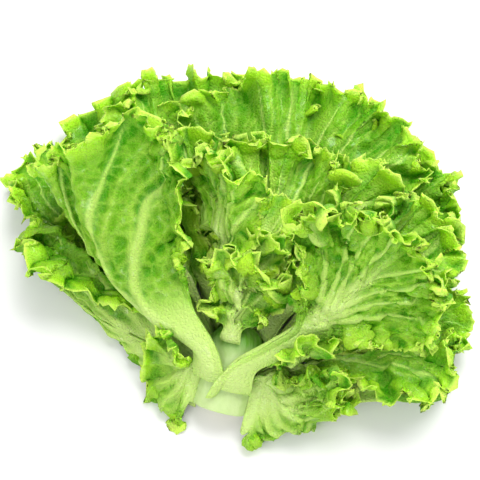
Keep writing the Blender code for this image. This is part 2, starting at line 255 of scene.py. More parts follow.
# How many cells across and along each leaf has
FINE_CELLS = {
    "front_leaf_left": (310, 118),
    "front_leaf_right": (290, 110),
    "inner_leaf_1": (110, 50),
    "inner_leaf_2": (140, 80),
    "inner_leaf_3": (200, 76),
    "inner_leaf_4": (130, 54),
    "inner_leaf_5": (84, 40),
    "inner_leaf_6": (90, 40),
    "middle_leaf_1": (104, 44),
    "middle_leaf_2": (120, 50),
    "outer_leaf_1": (200, 62),
    "outer_leaf_2": (190, 60),
    "outer_leaf_3": (200, 62),
    "outer_leaf_4": (180, 62),
    "outer_leaf_5": (160, 56),
    "outer_leaf_6": (160, 56),
    "outer_leaf_7": (150, 56),
    "outer_leaf_8": (150, 56),
    "outer_leaf_9": (130, 50),
}
PLAIN_CELLS = (80, 36)

# How much closer together the rows are at the rim
ROW_CROWDING = 1.3

# The frill: wave length, height, sideways overhang and how deep it reaches, in millimetres
FRILLS = (
    (56.0, 4.0, 0.0, 42.0),
    (26.0, 6.4, 3.6, 22.0),
    (12.5, 3.6, 1.5, 11.0),
)

# The rim rolls over towards the side that faces up: how deep, how far it turns (radians), the usual
# share of that, how much the share swings and over what length along the rim, where on the blade
# it starts and is full, and its least turn
ROLL_DEPTH = 15.0
ROLL_TURN = 1.15
MEAN_ROLL = 0.6
ROLL_SWING = 0.4
ROLL_CHANGE = 26.0
ROLL_START = 0.06
ROLL_FULL = 0.4
LEAST_ROLL = 0.01

# How uneven the frill is: shift and height of its waves, over how many wave lengths each changes,
# how fast it fades inwards, where on the blade it starts and is full, and how much the sheet is
# smoothed to find its directions
WAVE_SHIFT = 0.5
CLOUD_SHIFT = 0.2
SHIFT_CHANGE = 1.7
MEAN_HEIGHT = 0.72
HEIGHT_SWING = 0.5
HEIGHT_CHANGE = 2.1
FRILL_FADE = 1.25
FRILL_START = 0.03
FRILL_FULL = 0.34
FRILL_BLUR = 5

# Teeth along the rim: how long they are and how deep their roots, over what length they change,
# as shares their usual size, how much it swings and how far all of them are drawn back, where on
# the blade they start and are full, and how much the sheet is smoothed to find their direction
TOOTH_DEPTH = 1.7
TOOTH_ROOT = 2.0
TOOTH_CHANGE = 3.5
MEAN_TOOTH = 0.75
TOOTH_SWING = 0.5
TOOTH_SUNK = 0.3
TOOTH_START = 0.12
TOOTH_FULL = 0.4
TOOTH_BLUR = 2

# The net of blisters: their size and height, the width of their shoulders, how uneven they are and
# over what length, how wide round the middle rib there are none, and where on the blade they start
# and are full
BLISTER_SIZE = 8.0
BLISTER_HEIGHT = 1.3
SHOULDER = 0.62
UNEVEN = 0.25
UNEVEN_SIZE = 9.0
BLISTER_FREE = 1.4
BLISTER_START = 0.02
BLISTER_FULL = 0.3

# The middle rib: its height and how much of that it loses towards the tip, its width at the foot
# (as a share of the stalk's) and at the tip (millimetres), how it narrows between them, and where
# on the blade it fades out
RIB_HEIGHT = 1.4
RIB_LOSS = 0.75
RIB_FOOT = 0.92
RIB_TIP = 0.8
RIB_CURVE = 1.2
RIB_FADES = 0.4
RIB_ENDS = 0.95

# The foot of the stalk: how far it flares, where the flare ends, how thin it starts and where it
# is thick
ROOT_FLARE = 0.5
FLARE_END = 0.16
ROOT_THIN = 0.2
ROOT_TAPER = 0.06

# The ribs that branch to each side: share of the way to the side, and where on the blade they part,
# their width and height, how much height they lose, how early they start and how late they are
# full, how wide they are at the foot and how they narrow, and how they curve off
BRANCHES = ((0.84, 0.02), (0.6, 0.08), (0.37, 0.2), (0.17, 0.36))
BRANCH_WIDTH = 1.5
BRANCH_HEIGHT = 0.8
BRANCH_LOSS = 0.6
BRANCH_EARLY = 0.02
BRANCH_LATE = 0.04
BRANCH_FOOT = 1.15
BRANCH_TAPER = 0.8
PARTING_CURVE = 0.55

# Their finer forks: where on the blade they part, how far, and their width and height as shares
FORK_PLACE = 0.42
FORK_SPREAD = 0.09
FORK_WIDTH = 0.6
FORK_HEIGHT = 0.4

# How far chance moves a branch's aim (as a share), its start and the start of its forks
AIM_CHANCE = (0.88, 1.1)
START_CHANCE = (0.0, 0.07)
FORK_CHANCE = (-0.1, 0.12)

# How far all the ribs of a leaf wander to a side, and over what length
RIB_WANDER = 0.06
WANDER_LENGTH = 26.0

# Margins at which the branching ribs have ended and at which they are full
RIBS_END = 1.0
RIBS_FULL = 16.0

# Half the width of the band in which a leaf's side turns into its tip
CORNER = 5.0

# Thickness of the blade, of its rim, and the depth over which it thins
FINE_BLADE = 0.5
FINE_RIM = 0.34
THINNING_DEPTH = 9.0

# Shade is painted deepest in the folds at this depth below the smoothed sheet. The depth grows between two
# margins, and the sheet is smoothed so many times.
FOLD_SHADE_DEPTH = 2.5
FOLD_SHADE_GROWTH = 0.4
FOLD_SHADE_RIM = 4.0
FOLD_SHADE_INNER = 24.0
FOLD_SHADE_BLUR = 40

# Margins are stored on the mesh up to this depth. The stalk is stored as deep as that, so that it
# has no bright rim, which starts and is full at these places on the blade.
MARGIN_DEPTH = 40.0
RIM_START = 0.02
RIM_FULL = 0.3

# The least share of its width to which a leaf narrows where its tip's rim is measured
LEAST_FAN = 0.02

# Sizes of the tables of chance, after which noise repeats
WANDER_CELLS = 256
CLOUD_CELLS = 32
NET_CELLS = 16

# Where along a leaf its pale foot starts to fade, and how many steps its thickness has
FOOT_START = 0.05
THICKNESS_STEPS = 50.0

# Seeds of what chance draws, to which a leaf's number is added
BEND_SEED = 40
UNEVEN_SEED = 120
NET_SEED = 160
FRILL_SEED = 1000
TOOTH_SEED = 4000
ROLL_SEED = 6000
BRANCH_SEED = 7000


def axis_frame():
    """Return unit vectors to the right, towards the viewer, and along the stem's axis."""
    rise = math.radians(AXIS_RISE)
    heading = math.radians(AXIS_HEADING)
    axis = np.array([
        math.cos(rise) * math.sin(heading),
        math.cos(rise) * math.cos(heading),
        math.sin(rise),
    ])
    right = np.array([math.cos(heading), -math.sin(heading), 0.0])
    return right, np.cross(right, axis), axis


RIGHT, TOWARDS, AXIS = axis_frame()


def to_world(across, over, height):
    """Turn distances along the head's three directions into points, in millimetres."""
    parts = np.multiply.outer(across, RIGHT) + np.multiply.outer(over, TOWARDS)
    return parts + np.multiply.outer(height, AXIS) + np.array(STEM_CENTRE)


def to_shells(points):
    """Return each point's distance from the stem's core, its way down that shell, and its turn.

    The shells round the core are cylinders below its top and half spheres above it. The way
    down starts at the axis, runs over the dome and goes on down the cylinder.
    """
    offset = points - np.array(STEM_CENTRE)
    across = offset @ RIGHT
    over = offset @ TOWARDS
    height = offset @ AXIS
    aside = np.hypot(across, over)
    shell = np.hypot(aside, np.maximum(height, 0.0))
    dome = shell * np.arctan2(aside, height)
    down = np.where(height > 0.0, dome, shell * math.pi / 2 - height)
    return shell, down, np.arctan2(over, across)


def from_shells(shell, down, turn):
    """Return points from distance to the core, way down the shell, and turn."""
    angle = np.clip(down / shell, 0.0, math.pi / 2)
    height = shell * np.cos(angle) - np.maximum(down - shell * math.pi / 2, 0.0)
    aside = shell * np.sin(angle)
    return to_world(aside * np.cos(turn), aside * np.sin(turn), height)


def soft_step(low, high, value):
    """Return 0 below low, 1 above high, and a smooth rise between them."""
    share = np.clip((value - low) / (high - low), 0.0, 1.0)
    return share * share * (3.0 - 2.0 * share)


def leaf_rows(leaf):
    """Return the leaf's rows, from root to rim, with the columns merged in each."""
    return ROWS_FINE if leaf.columns > 16 else ROWS_PLAIN


def stalk_half_width(leaf):
    """Return half the width of a leaf's stalk."""
    return STALK_HALF_WIDTH * leaf.stalk * min(1.0, max(LEAST_WIDTH, leaf.length / LONG_LEAF))


def stalk_thickness(leaf):
    """Return the thickness of a leaf's stalk at its root."""
    return STALK_THICK * leaf.stalk * min(1.0, max(LEAST_THICK, leaf.length / LONG_LEAF))


def coarse_places(leaf):
    """Return the coarse grid's shares of side and of length."""
    side = np.linspace(-1.0, 1.0, leaf.columns + 1)
    along = np.array([row for row, _ in leaf_rows(leaf)])
    return side[None, :], along[:, None]


def flat_outline(leaf, side, along):
    """Return the flat leaf's grid: distances aside and forward, and shares of blade, side, length."""
    fan_start = leaf.stalk_share * leaf.length
    blade = np.clip((along - leaf.stalk_share) / (1.0 - leaf.stalk_share), 0.0, 1.0)
    half_width = stalk_half_width(leaf)
    angle = side * math.radians(leaf.spread)
    reach = (leaf.length - fan_start) * (1.0 - SIDE_SHORTER * np.abs(side) ** SIDE_CURVE)
    reach = reach - NOTCH_DEPTH * leaf.wave * (1.0 + np.cos(math.pi * leaf.columns / 2 * side)) * blade**2
    aside = side * half_width * (1.0 - blade) + reach * blade * np.sin(angle)
    forward = np.minimum(along / leaf.stalk_share, 1.0) * fan_start + reach * blade * np.cos(angle)
    shape = aside.shape
    return aside, forward, *(np.broadcast_to(share, shape) for share in (blade, side, along))


def leaf_waves(leaf, index, blade, side):
    """Return how far the rim's waves and its outward roll lift the sheet, in millimetres."""
    rim = 2.0 * math.radians(leaf.spread) * leaf.length * (1.0 - leaf.stalk_share)
    count = rim / WAVE_LENGTH
    phase = math.radians(GOLDEN_TURN * (index + 1))
    swell = np.sin(math.pi * count * side + phase)
    swell = swell + SECOND_HEIGHT * np.sin(math.pi * count * SECOND_PACE * side + SECOND_PHASE * phase)
    return leaf.wave * (WAVE_HEIGHT * blade**WAVE_RISE * swell + ROLL * blade**ROLL_RISE)


def root_place(down):
    """Return distance from the axis and height of the stem's surface, by the way down it."""
    radius = STEM_RADIUS + STEM_GAP
    angle = min(down / radius, math.pi / 2)
    return radius * math.sin(angle), radius * math.cos(angle) - max(down - radius * math.pi / 2, 0.0)


def free_sheet(leaf, index, root_down):
    """Return the leaf's points before its neighbours press on it: a fan bent round the axis."""
    aside, forward, blade, side, along = flat_outline(leaf, *coarse_places(leaf))
    swing = math.radians(leaf.swing) * soft_step(0.0, TWIST_SHARE, along)
    aside, forward = (
        aside * np.cos(swing) + forward * np.sin(swing),
        forward * np.cos(swing) - aside * np.sin(swing),
    )
    lean = np.radians(leaf.lean)
    root_out, root_height = root_place(root_down)
    out = root_out + forward * np.sin(lean)
    widest = np.abs(aside).max(axis=1, keepdims=True)
    bend = (1.0 - leaf.flat) * np.cos(lean) / np.maximum(out, 1.0)
    bend = np.clip(bend, LEAST_BEND, MOST_WRAP / widest)
    outwards = leaf_waves(leaf, index, blade, side) - (1.0 - np.cos(bend * aside)) / bend
    sideways = np.sin(bend * aside) / bend
    twist = math.radians(leaf.twist) * soft_step(0.0, TWIST_SHARE, along)
    sideways, outwards = (
        sideways * np.cos(twist) - outwards * np.sin(twist),
        sideways * np.sin(twist) + outwards * np.cos(twist),
    )
    out = out + outwards * np.cos(lean)
    height = root_height + forward * np.cos(lean) - outwards * np.sin(lean)
    turn = math.radians(leaf.turn)
    across = out * np.cos(turn) - sideways * np.sin(turn)
    over = out * np.sin(turn) + sideways * np.cos(turn)
    return to_world(across, over, height), blade


def stalk_part(blade, rib):
    """Return how much of the stalk's thickness each place has, by how near it is to the rib."""
    return (1.0 - soft_step(0.0, STALK_END, blade)) * (BESIDE_RIB + (1.0 - BESIDE_RIB) * rib)


def sheet_thickness(leaf):
    """Return the sheet's thickness over its grid: a thick stalk that thins into the blade."""
    aside, _, blade, _, _ = flat_outline(leaf, *coarse_places(leaf))
    rib = np.exp(-((aside / (stalk_half_width(leaf) * RIB_SHARE)) ** 2))
    stalk = np.clip(stalk_part(blade, rib), 0.0, 1.0)
    return BLADE_THICK + (stalk_thickness(leaf) - BLADE_THICK) * stalk


def fill_merged(leaf, points):
    """Put the merged columns' points on the straight line between the ones that are kept."""
    filled = points.copy()
    for row, (_, step) in enumerate(leaf_rows(leaf)):
        for column in range(leaf.columns + 1):
            rest = column % step
            if rest:
                near = points[row, column - rest]
                far = points[row, column - rest + step]
                filled[row, column] = near + (far - near) * rest / step
    return filled


def subdivide(grid, times):
    """Return the grid with each cell cut evenly, by straight lines both ways."""
    rows = np.linspace(0, grid.shape[0] - 1, (grid.shape[0] - 1) * times + 1)
    low = np.minimum(rows.astype(int), grid.shape[0] - 2)
    part = (rows - low).reshape((-1,) + (1,) * (grid.ndim - 1))
    grid = grid[low] * (1 - part) + grid[low + 1] * part
    columns = np.linspace(0, grid.shape[1] - 1, (grid.shape[1] - 1) * times + 1)
    low = np.minimum(columns.astype(int), grid.shape[1] - 2)
    part = (columns - low).reshape((1, -1) + (1,) * (grid.ndim - 2))
    return grid[:, low] * (1 - part) + grid[:, low + 1] * part


def neighbour_stack(values):
    """Return each cell's nine neighbours, with the edge cells repeated."""
    padded = np.pad(values, 1, mode="edge")
    rows, columns = values.shape
    return [padded[i:i + rows, j:j + columns] for i in range(3) for j in range(3)]


def spread_out(values, times):
    """Return a smooth field that is nowhere less than the given one."""
    for _ in range(times):
        values = np.max(neighbour_stack(values), axis=0)
    for _ in range(times):
        values = np.mean(neighbour_stack(values), axis=0)
    return values


def sheet_normals(points):
    """Return unit normals of a grid that point away from the head's axis."""
    along = np.gradient(points, axis=0)
    across = np.gradient(points, axis=1)
    normal = np.cross(along, across)
    return normal / np.maximum(np.linalg.norm(normal, axis=-1, keepdims=True), 1e-9)


class Reach:
    """How far down each shell the leaves laid so far come, by shell and by turn."""

    STEP = 0.75
    SHELLS = 290

    def __init__(self):
        """Start with nothing laid."""
        self.down = np.zeros((self.SHELLS, 360))

    def cells(self, shell, turn):
        """Return the map's cell for each point."""
        ring = np.clip((shell / self.STEP).astype(int), 0, self.SHELLS - 1)
        return ring, np.floor(np.degrees(turn)).astype(int) % 360

    def lay(self, points):
        """Mark the points of a leaf that is now in its place."""
        shell, down, turn = to_shells(points.reshape(-1, 3))
        np.maximum.at(self.down, self.cells(shell, turn), down)

    def grown(self):
        """Return the map with each cell raised to its neighbours' height."""
        rings = np.maximum(self.down, np.vstack([self.down[1:], self.down[-1:]]))
        rings = np.maximum(rings, np.vstack([self.down[:1], self.down[:-1]]))
        return np.maximum(rings, np.maximum(np.roll(rings, 1, 1), np.roll(rings, -1, 1)))

    def seat(self, leaf):
        """Return how far down the stem a new leaf's root goes, just below the roots above it."""
        half = math.degrees(stalk_half_width(leaf) / STEM_RADIUS)
        around = np.arange(int(leaf.turn - half), int(leaf.turn + half) + 1) % 360
        surface = int(STEM_RADIUS / self.STEP)
        below = max(float(self.down[surface:surface + SEAT_RINGS, around].max()), FIRST_SEAT) + SEAT_GAP
        return below + leaf.drop


def press_clear(leaf, sheet, blade, reach):
    """Slide the leaf's grid down the shells until all of it clears the leaves inside it."""
    shell, down, turn = to_shells(sheet)
    shell = np.maximum(shell, STEM_RADIUS + STEM_GAP)
    grown = reach.grown()
    room = subdivide(ROOT_ROOM + (RIM_ROOM - ROOT_ROOM) * blade, FINE_CUTS)
    push = np.zeros_like(down)
    rows, columns = push.shape
    for _ in range(MOST_PUSHES):
        points = fill_merged(leaf, from_shells(shell, down + push, turn))
        ring, way, where = to_shells(subdivide(points, FINE_CUTS))
        behind = grown[reach.cells(ring, where)]
        lack = np.where(behind > 0.0, np.maximum(behind + room - way, 0.0), 0.0)
        cells = lack[:-1, :-1].reshape(rows - 1, FINE_CUTS, columns - 1, FINE_CUTS).max(axis=(1, 3))
        need = np.zeros_like(push)
        for i in (0, 1):
            for j in (0, 1):
                part = need[i:rows - 1 + i, j:columns - 1 + j]
                np.maximum(part, cells, out=part)
        if need.max() < LEAST_PUSH:
            break
        push = push + spread_out(need, 1)
        for row in range(1, rows):
            push[row] = np.maximum(push[row], PUSH_KEPT * push[row - 1])
    return points


def settle(points):
    """Squeeze the head's underside, which its own weight flattens, and lift it to the floor."""
    settled = points.copy()
    height = points[..., 2]
    soft = SETTLE_DEPTH * np.logaddexp(0.0, height / SETTLE_DEPTH)
    settled[..., 2] = SETTLE_SLOPE * height + (1.0 - SETTLE_SLOPE) * soft + LIFT
    return settled


def rest_on_floor(points, thickness):
    """Lay the lowest places flat on the floor, with the sheet's thickness under them."""
    resting = points.copy()
    height = points[..., 2]
    near = 1.0 - soft_step(0.0, FLOOR_NEAR, height)
    resting[..., 2] = np.maximum(height, 0.0) + thickness * near
    return resting


def arrange_leaves():
    """Lay all the leaves in order and return each one's grid of points."""
    reach = Reach()
    laid = []
    for index, leaf in enumerate(LEAVES):
        sheet, blade = free_sheet(leaf, index, reach.seat(leaf))
        points = press_clear(leaf, sheet, blade, reach)
        thickness = sheet_thickness(leaf)
        outside = points + sheet_normals(points) * thickness[..., None]
        reach.lay(subdivide(points, FINE_CUTS))
        reach.lay(subdivide(outside, FINE_CUTS))
        laid.append((leaf, settle(points)))
    return laid


def wander(place, seed):
    """Return smooth noise from -1 to 1 along a line."""
    table = np.random.default_rng(seed).uniform(-1.0, 1.0, WANDER_CELLS)
    cell = np.floor(place).astype(int)
    part = place - cell
    part = part * part * (3.0 - 2.0 * part)
    return table[cell % WANDER_CELLS] * (1.0 - part) + table[(cell + 1) % WANDER_CELLS] * part


def corner_offsets(low, high):
    """Return the steps to a cell's neighbours in space."""
    steps = range(low, high + 1)
    return [np.array((i, j, k)) for i in steps for j in steps for k in steps]


def cloud(places, seed):
    """Return smooth noise from -1 to 1 in space."""
    table = np.random.default_rng(seed).uniform(-1.0, 1.0, (CLOUD_CELLS,) * 3)
    cell = np.floor(places).astype(int)
    part = places - cell
    part = part * part * (3.0 - 2.0 * part)
    total = np.zeros(places.shape[:-1])
    for step in corner_offsets(0, 1):
        x, y, z = np.moveaxis((cell + step) % CLOUD_CELLS, -1, 0)
        total = total + table[x, y, z] * np.prod(np.where(step == 1, part, 1.0 - part), axis=-1)
    return total


def cell_edges(places, seed):
    """Return how far each point lies from the edges of uneven cells, from 0 to about 1."""
    jitter = np.random.default_rng(seed).uniform(0.1, 0.9, (NET_CELLS,) * 3 + (3,))
    cell = np.floor(places).astype(int)
    first = np.full(places.shape[:-1], 9.0)
    second = np.full(places.shape[:-1], 9.0)
    for step in corner_offsets(-1, 1):
        x, y, z = np.moveaxis((cell + step) % NET_CELLS, -1, 0)
        away = np.linalg.norm(cell + step + jitter[x, y, z] - places, axis=-1)
        second = np.minimum(second, np.maximum(first, away))
        first = np.minimum(first, away)
    return second - first


def smooth_through(knots, values, at):
    """Return a smooth curve through the values at the knots, read at other places."""
    slopes = np.gradient(values, knots, axis=0)
    low = np.clip(np.searchsorted(knots, at, side="right") - 1, 0, len(knots) - 2)
    shape = (-1,) + (1,) * (values.ndim - 1)
    width = (knots[low + 1] - knots[low]).reshape(shape)
    part = (at - knots[low]).reshape(shape) / width
    near = (1 + 2 * part) * (1 - part) ** 2 * values[low] + part * (1 - part) ** 2 * width * slopes[low]
    far = part**2 * (3 - 2 * part) * values[low + 1] - part**2 * (1 - part) * width * slopes[low + 1]
    return near + far


def kind_of(leaf):
    """Return the first word of a leaf's name."""
    return leaf.name.split("_")[0]


def look_of(leaf):
    """Return how a leaf of this kind differs from the rest."""
    return LOOKS[kind_of(leaf)]


def fine_places(leaf):
    """Return the fine grid's shares of side and of length."""
    across, along = cells_of(leaf)
    side = np.linspace(-1.0, 1.0, across + 1)
    rows = 1.0 - (1.0 - np.linspace(0.0, 1.0, along + 1)) ** ROW_CROWDING
    return side, rows


def cells_of(leaf):
    """Return how many cells across and along a leaf has."""
    return FINE_CELLS.get(leaf.name, PLAIN_CELLS)


def fine_sheet(leaf, points):
    """Return the leaf's coarse sheet as a smooth one with many more cells."""
    side, rows = fine_places(leaf)
    bands = []
    for row, (_, step) in enumerate(leaf_rows(leaf)):
        kept = points[row, ::step]
        bands.append(smooth_through(np.linspace(-1.0, 1.0, len(kept)), kept, side))
    knots = np.array([row for row, _ in leaf_rows(leaf)])
    return smooth_through(knots, np.array(bands), rows)


def lengths_along(points, axis):
    """Return each point's distance from its line's first point, measured along the line."""
    steps = np.linalg.norm(np.diff(points, axis=axis), axis=-1)
    start = np.zeros_like(np.take(steps, [0], axis=axis))
    return np.concatenate([start, np.cumsum(steps, axis=axis)], axis=axis)


def margin_places(sheet):
    """Return each point's distance to the leaf's margin, its place along it, and how near the tip."""
    column = lengths_along(sheet, 0)
    to_tip = column[-1:] - column
    row = lengths_along(sheet, 1)
    middle = sheet.shape[1] // 2
    from_middle = row - row[:, middle:middle + 1]
    half = np.where(from_middle < 0.0, -from_middle[:, :1], from_middle[:, -1:])
    to_side = half - np.abs(from_middle)
    tip_half = np.where(from_middle < 0.0, half[-1:, :1], half[-1:, -1:])
    share = np.abs(from_middle) / half
    fan = tip_half * share / np.maximum(1.0 - to_tip / half, LEAST_FAN)
    near_tip = to_tip < to_side
    place = np.where(near_tip, fan, tip_half + to_tip - to_side)
    return np.minimum(to_tip, to_side), np.sign(from_middle) * place, to_side - to_tip


def near_curve(leaf, side, blade, curve, start, width):
    """Return how near each point lies to a rib that parts from its parent at a place on the blade."""
    reach = leaf.length * (1.0 - leaf.stalk_share)
    half_rim = math.radians(leaf.spread) * reach
    half_width = stalk_half_width(leaf) + (half_rim - stalk_half_width(leaf)) * blade
    off = (side - curve) * half_width / (width * (BRANCH_FOOT - BRANCH_TAPER * blade))
    return np.exp(-(off**2)) * soft_step(start - BRANCH_EARLY, start + BRANCH_LATE, blade)


def parting(blade, start):
    """Return a curve that leaves its parent at the start and straightens out towards the rim."""
    return np.clip((blade - start) / (1.0 - start), 0.0, 1.0) ** PARTING_CURVE


def branches(leaf, index, side, blade, bend):
    """Return the ribs that branch from the middle one, and their finer forks."""
    chance = np.random.default_rng(BRANCH_SEED + index)
    ribs = np.zeros_like(side)
    forks = np.zeros_like(side)
    for share, start in BRANCHES:
        for way in (-1.0, 1.0):
            aim = way * share * chance.uniform(*AIM_CHANCE)
            start_here = start + chance.uniform(*START_CHANCE)
            curve = aim * parting(blade, start_here) + bend
            ribs = np.maximum(ribs, near_curve(leaf, side, blade, curve, start_here, BRANCH_WIDTH))
            for turn in (-1.0, 1.0):
                fork_start = FORK_PLACE + chance.uniform(*FORK_CHANCE)
                fork = curve + turn * FORK_SPREAD * parting(blade, fork_start)
                near = near_curve(leaf, side, blade, fork, fork_start, FORK_WIDTH * BRANCH_WIDTH)
                forks = np.maximum(forks, near)
    return ribs, forks


def leaf_fields(leaf, index, sheet):
    """Return what varies over a leaf: its places, margin, ribs, veins and blisters."""
    side, rows = fine_places(leaf)
    aside, _, blade, side, along = flat_outline(leaf, side[None, :], rows[:, None])
    margin, place, tip_nearness = margin_places(sheet)
    bend = RIB_WANDER * cloud(sheet / WANDER_LENGTH, index + BEND_SEED) * blade
    rib_half = stalk_half_width(leaf) * (1.0 - blade) ** RIB_CURVE * RIB_FOOT + RIB_TIP
    rib = np.exp(-((aside / rib_half) ** 2)) * (1.0 - soft_step(RIB_FADES, RIB_ENDS, blade))
    ribs, forks = branches(leaf, index, side, blade, bend)
    within = soft_step(RIBS_END, RIBS_FULL, margin)
    warp = UNEVEN * cloud(sheet / UNEVEN_SIZE, index + UNEVEN_SEED)[..., None]
    return {
        "blade": blade, "side": side, "along": along, "margin": margin, "place": place,
        "rib": rib, "branch": ribs * within, "vein": forks * within,
        "net": cell_edges(sheet / BLISTER_SIZE + warp, index + NET_SEED),
        "near_tip": tip_nearness > 0.0, "tip": soft_step(-CORNER, CORNER, tip_nearness)[..., None],
    }


def flare_root(points, along):
    """Widen the foot of the stalk where it grows from the stem."""
    middle = points.mean(axis=1, keepdims=True)
    wider = 1.0 + ROOT_FLARE * (1.0 - soft_step(0.0, FLARE_END, along))
    return middle + (points - middle) * wider[..., None]


def raise_veins(leaf, points, fields, sizes):
    """Raise the rib and the veins on the outer face, and sink the blisters between them."""
    blade = fields["blade"]
    raised = np.maximum(fields["rib"] * BLISTER_FREE, fields["branch"])
    free = 1.0 - np.clip(raised, 0.0, 1.0)
    dome = soft_step(0.0, SHOULDER, fields["net"]) * free * soft_step(BLISTER_START, BLISTER_FULL, blade)
    lift = RIB_HEIGHT * leaf.stalk * fields["rib"] * (1.0 - RIB_LOSS * blade)
    lift = lift + BRANCH_HEIGHT * leaf.stalk * fields["branch"] * (1.0 - BRANCH_LOSS * blade)
    lift = lift + FORK_HEIGHT * BRANCH_HEIGHT * fields["vein"] * free
    lift = lift - BLISTER_HEIGHT * sizes.blister * look_of(leaf).blister * dome
    return points + sheet_normals(points) * lift[..., None]


def rim_directions(points, fields):
    """Return unit vectors out over the nearest rim, and along it."""
    forward = unit(np.gradient(points, axis=0))
    across = unit(np.gradient(points, axis=1))
    way = np.sign(fields["side"])[..., None]
    tip = fields["tip"]
    outwards = unit(tip * forward + (1.0 - tip) * way * across)
    return outwards, unit(tip * across - (1.0 - tip) * way * forward)


def blurred(points, times):
    """Return the sheet smoothed along its rows and its columns."""
    for _ in range(times):
        wide = np.pad(points, ((1, 1), (0, 0), (0, 0)), mode="edge")
        points = (wide[:-2] + 2.0 * wide[1:-1] + wide[2:]) / 4.0
        wide = np.pad(points, ((0, 0), (1, 1), (0, 0)), mode="edge")
        points = (wide[:, :-2] + 2.0 * wide[:, 1:-1] + wide[:, 2:]) / 4.0
    return points


def face_up(points):
    """Return 1 where the side of the normals faces up on the whole, and -1 where it faces down."""
    return 1.0 if sheet_normals(points)[..., 2].mean() > 0.0 else -1.0


def fold_shade_mask(points, margin):
    """Return how deep each point lies in a dip of the side that faces up, from 0 to 1, as the mask of
    painted shade in the folds.
    """
    base = blurred(points, FOLD_SHADE_BLUR)
    rise = face_up(base) * np.sum((points - base) * sheet_normals(base), axis=-1)
    scale = FOLD_SHADE_DEPTH + FOLD_SHADE_GROWTH * soft_step(FOLD_SHADE_RIM, FOLD_SHADE_INNER, margin)
    return np.clip(-rise / scale, 0.0, 1.0)


def roll_rim(leaf, index, points, fields):
    """Roll the rim over, here more and there less, towards the side that faces up."""
    normal = sheet_normals(points)
    outwards, _ = rim_directions(points, fields)
    vary = MEAN_ROLL + ROLL_SWING * wander(fields["place"] / ROLL_CHANGE, ROLL_SEED + index)
    grown = soft_step(ROLL_START, ROLL_FULL, fields["blade"])
    turn = ROLL_TURN * look_of(leaf).frill * vary * grown + LEAST_ROLL
    over = np.clip(ROLL_DEPTH - fields["margin"], 0.0, None)
    angle = turn * over / ROLL_DEPTH
    lift = ROLL_DEPTH / turn * (1.0 - np.cos(angle))
    back = over - ROLL_DEPTH / turn * np.sin(angle)
    return points + normal * (face_up(points) * lift)[..., None] - outwards * back[..., None]


def ruffle(leaf, index, points, fields, sizes):
    """Fold the rim into waves on waves, each along the surface that the last one left."""
    margin = fields["margin"]
    place = fields["place"]
    grown = soft_step(FRILL_START, FRILL_FULL, fields["blade"]) * look_of(leaf).frill * sizes.frill
    for octave, (length, height, overhang, depth) in enumerate(FRILLS):
        seed = FRILL_SEED + 50 * index + 5 * octave
        shift = WAVE_SHIFT * wander(place / (SHIFT_CHANGE * length), seed)
        shift = shift + CLOUD_SHIFT * cloud(points / length, seed + 1)
        vary = MEAN_HEIGHT + HEIGHT_SWING * wander(place / (HEIGHT_CHANGE * length), seed + 2)
        fade = vary * grown * np.exp(-((margin / depth) ** FRILL_FADE))
        phase = 2 * math.pi * (place / length + shift)
        calm = blurred(points, FRILL_BLUR)
        normal = sheet_normals(calm)
        _, along_rim = rim_directions(calm, fields)
        points = points + normal * (height * fade * np.sin(phase))[..., None]
        points = points + along_rim * (overhang * fade * np.sin(2 * phase))[..., None]
    return points


def unit(vectors):
    """Return vectors of the same directions that are one long."""
    return vectors / np.maximum(np.linalg.norm(vectors, axis=-1, keepdims=True), 1e-9)


def notch(leaf, index, points, fields):
    """Draw every second point of the rim out into a small uneven tooth."""
    rows, columns = points.shape[:2]
    count = np.where(fields["near_tip"], np.arange(columns)[None, :], np.arange(rows)[:, None])
    size = MEAN_TOOTH + TOOTH_SWING * wander(fields["place"] / TOOTH_CHANGE, TOOTH_SEED + index)
    tooth = np.where(count % 2 == 0, size, 0.0) - TOOTH_SUNK
    outwards, _ = rim_directions(blurred(points, TOOTH_BLUR), fields)
    grown = soft_step(TOOTH_START, TOOTH_FULL, fields["blade"])
    near = np.exp(-((fields["margin"] / TOOTH_ROOT) ** 2)) * grown
    return points + outwards * (TOOTH_DEPTH * look_of(leaf).frill * tooth * near)[..., None]


def fine_thickness(leaf, fields):
    """Return the leaf's thickness: a thick stalk and rib, and a blade that thins to the rim."""
    stalk = stalk_part(fields["blade"], fields["rib"])
    stalk = stalk * (ROOT_THIN + (1.0 - ROOT_THIN) * soft_step(0.0, ROOT_TAPER, fields["along"]))
    thin = FINE_RIM + (FINE_BLADE - FINE_RIM) * soft_step(0.0, THINNING_DEPTH, fields["margin"])
    return thin + (stalk_thickness(leaf) - thin) * np.clip(stalk, 0.0, 1.0)


def shaped_leaf(leaf, index, points, sizes):
    """Return a leaf's finished sheet, its thickness and its fields."""
    sheet = flare_root(fine_sheet(leaf, points), fine_places(leaf)[1][:, None])
    fields = leaf_fields(leaf, index, sheet)
    sheet = raise_veins(leaf, sheet, fields, sizes)
    sheet = roll_rim(leaf, index, sheet, fields)
    sheet = ruffle(leaf, index, sheet, fields, sizes)
    sheet = notch(leaf, index, sheet, fields)
    # How deep the folds are, which the leaf's material turns into painted shade
    fields["hollow"] = fold_shade_mask(sheet, fields["margin"])
    thickness = fine_thickness(leaf, fields)
    return rest_on_floor(sheet, thickness), thickness, fields


# Sockets of a Mix node that mixes colours: its share, its two colours and its result
MIX_SHARE = 0
MIX_FIRST = 6
MIX_SECOND = 7
MIX_RESULT = 2


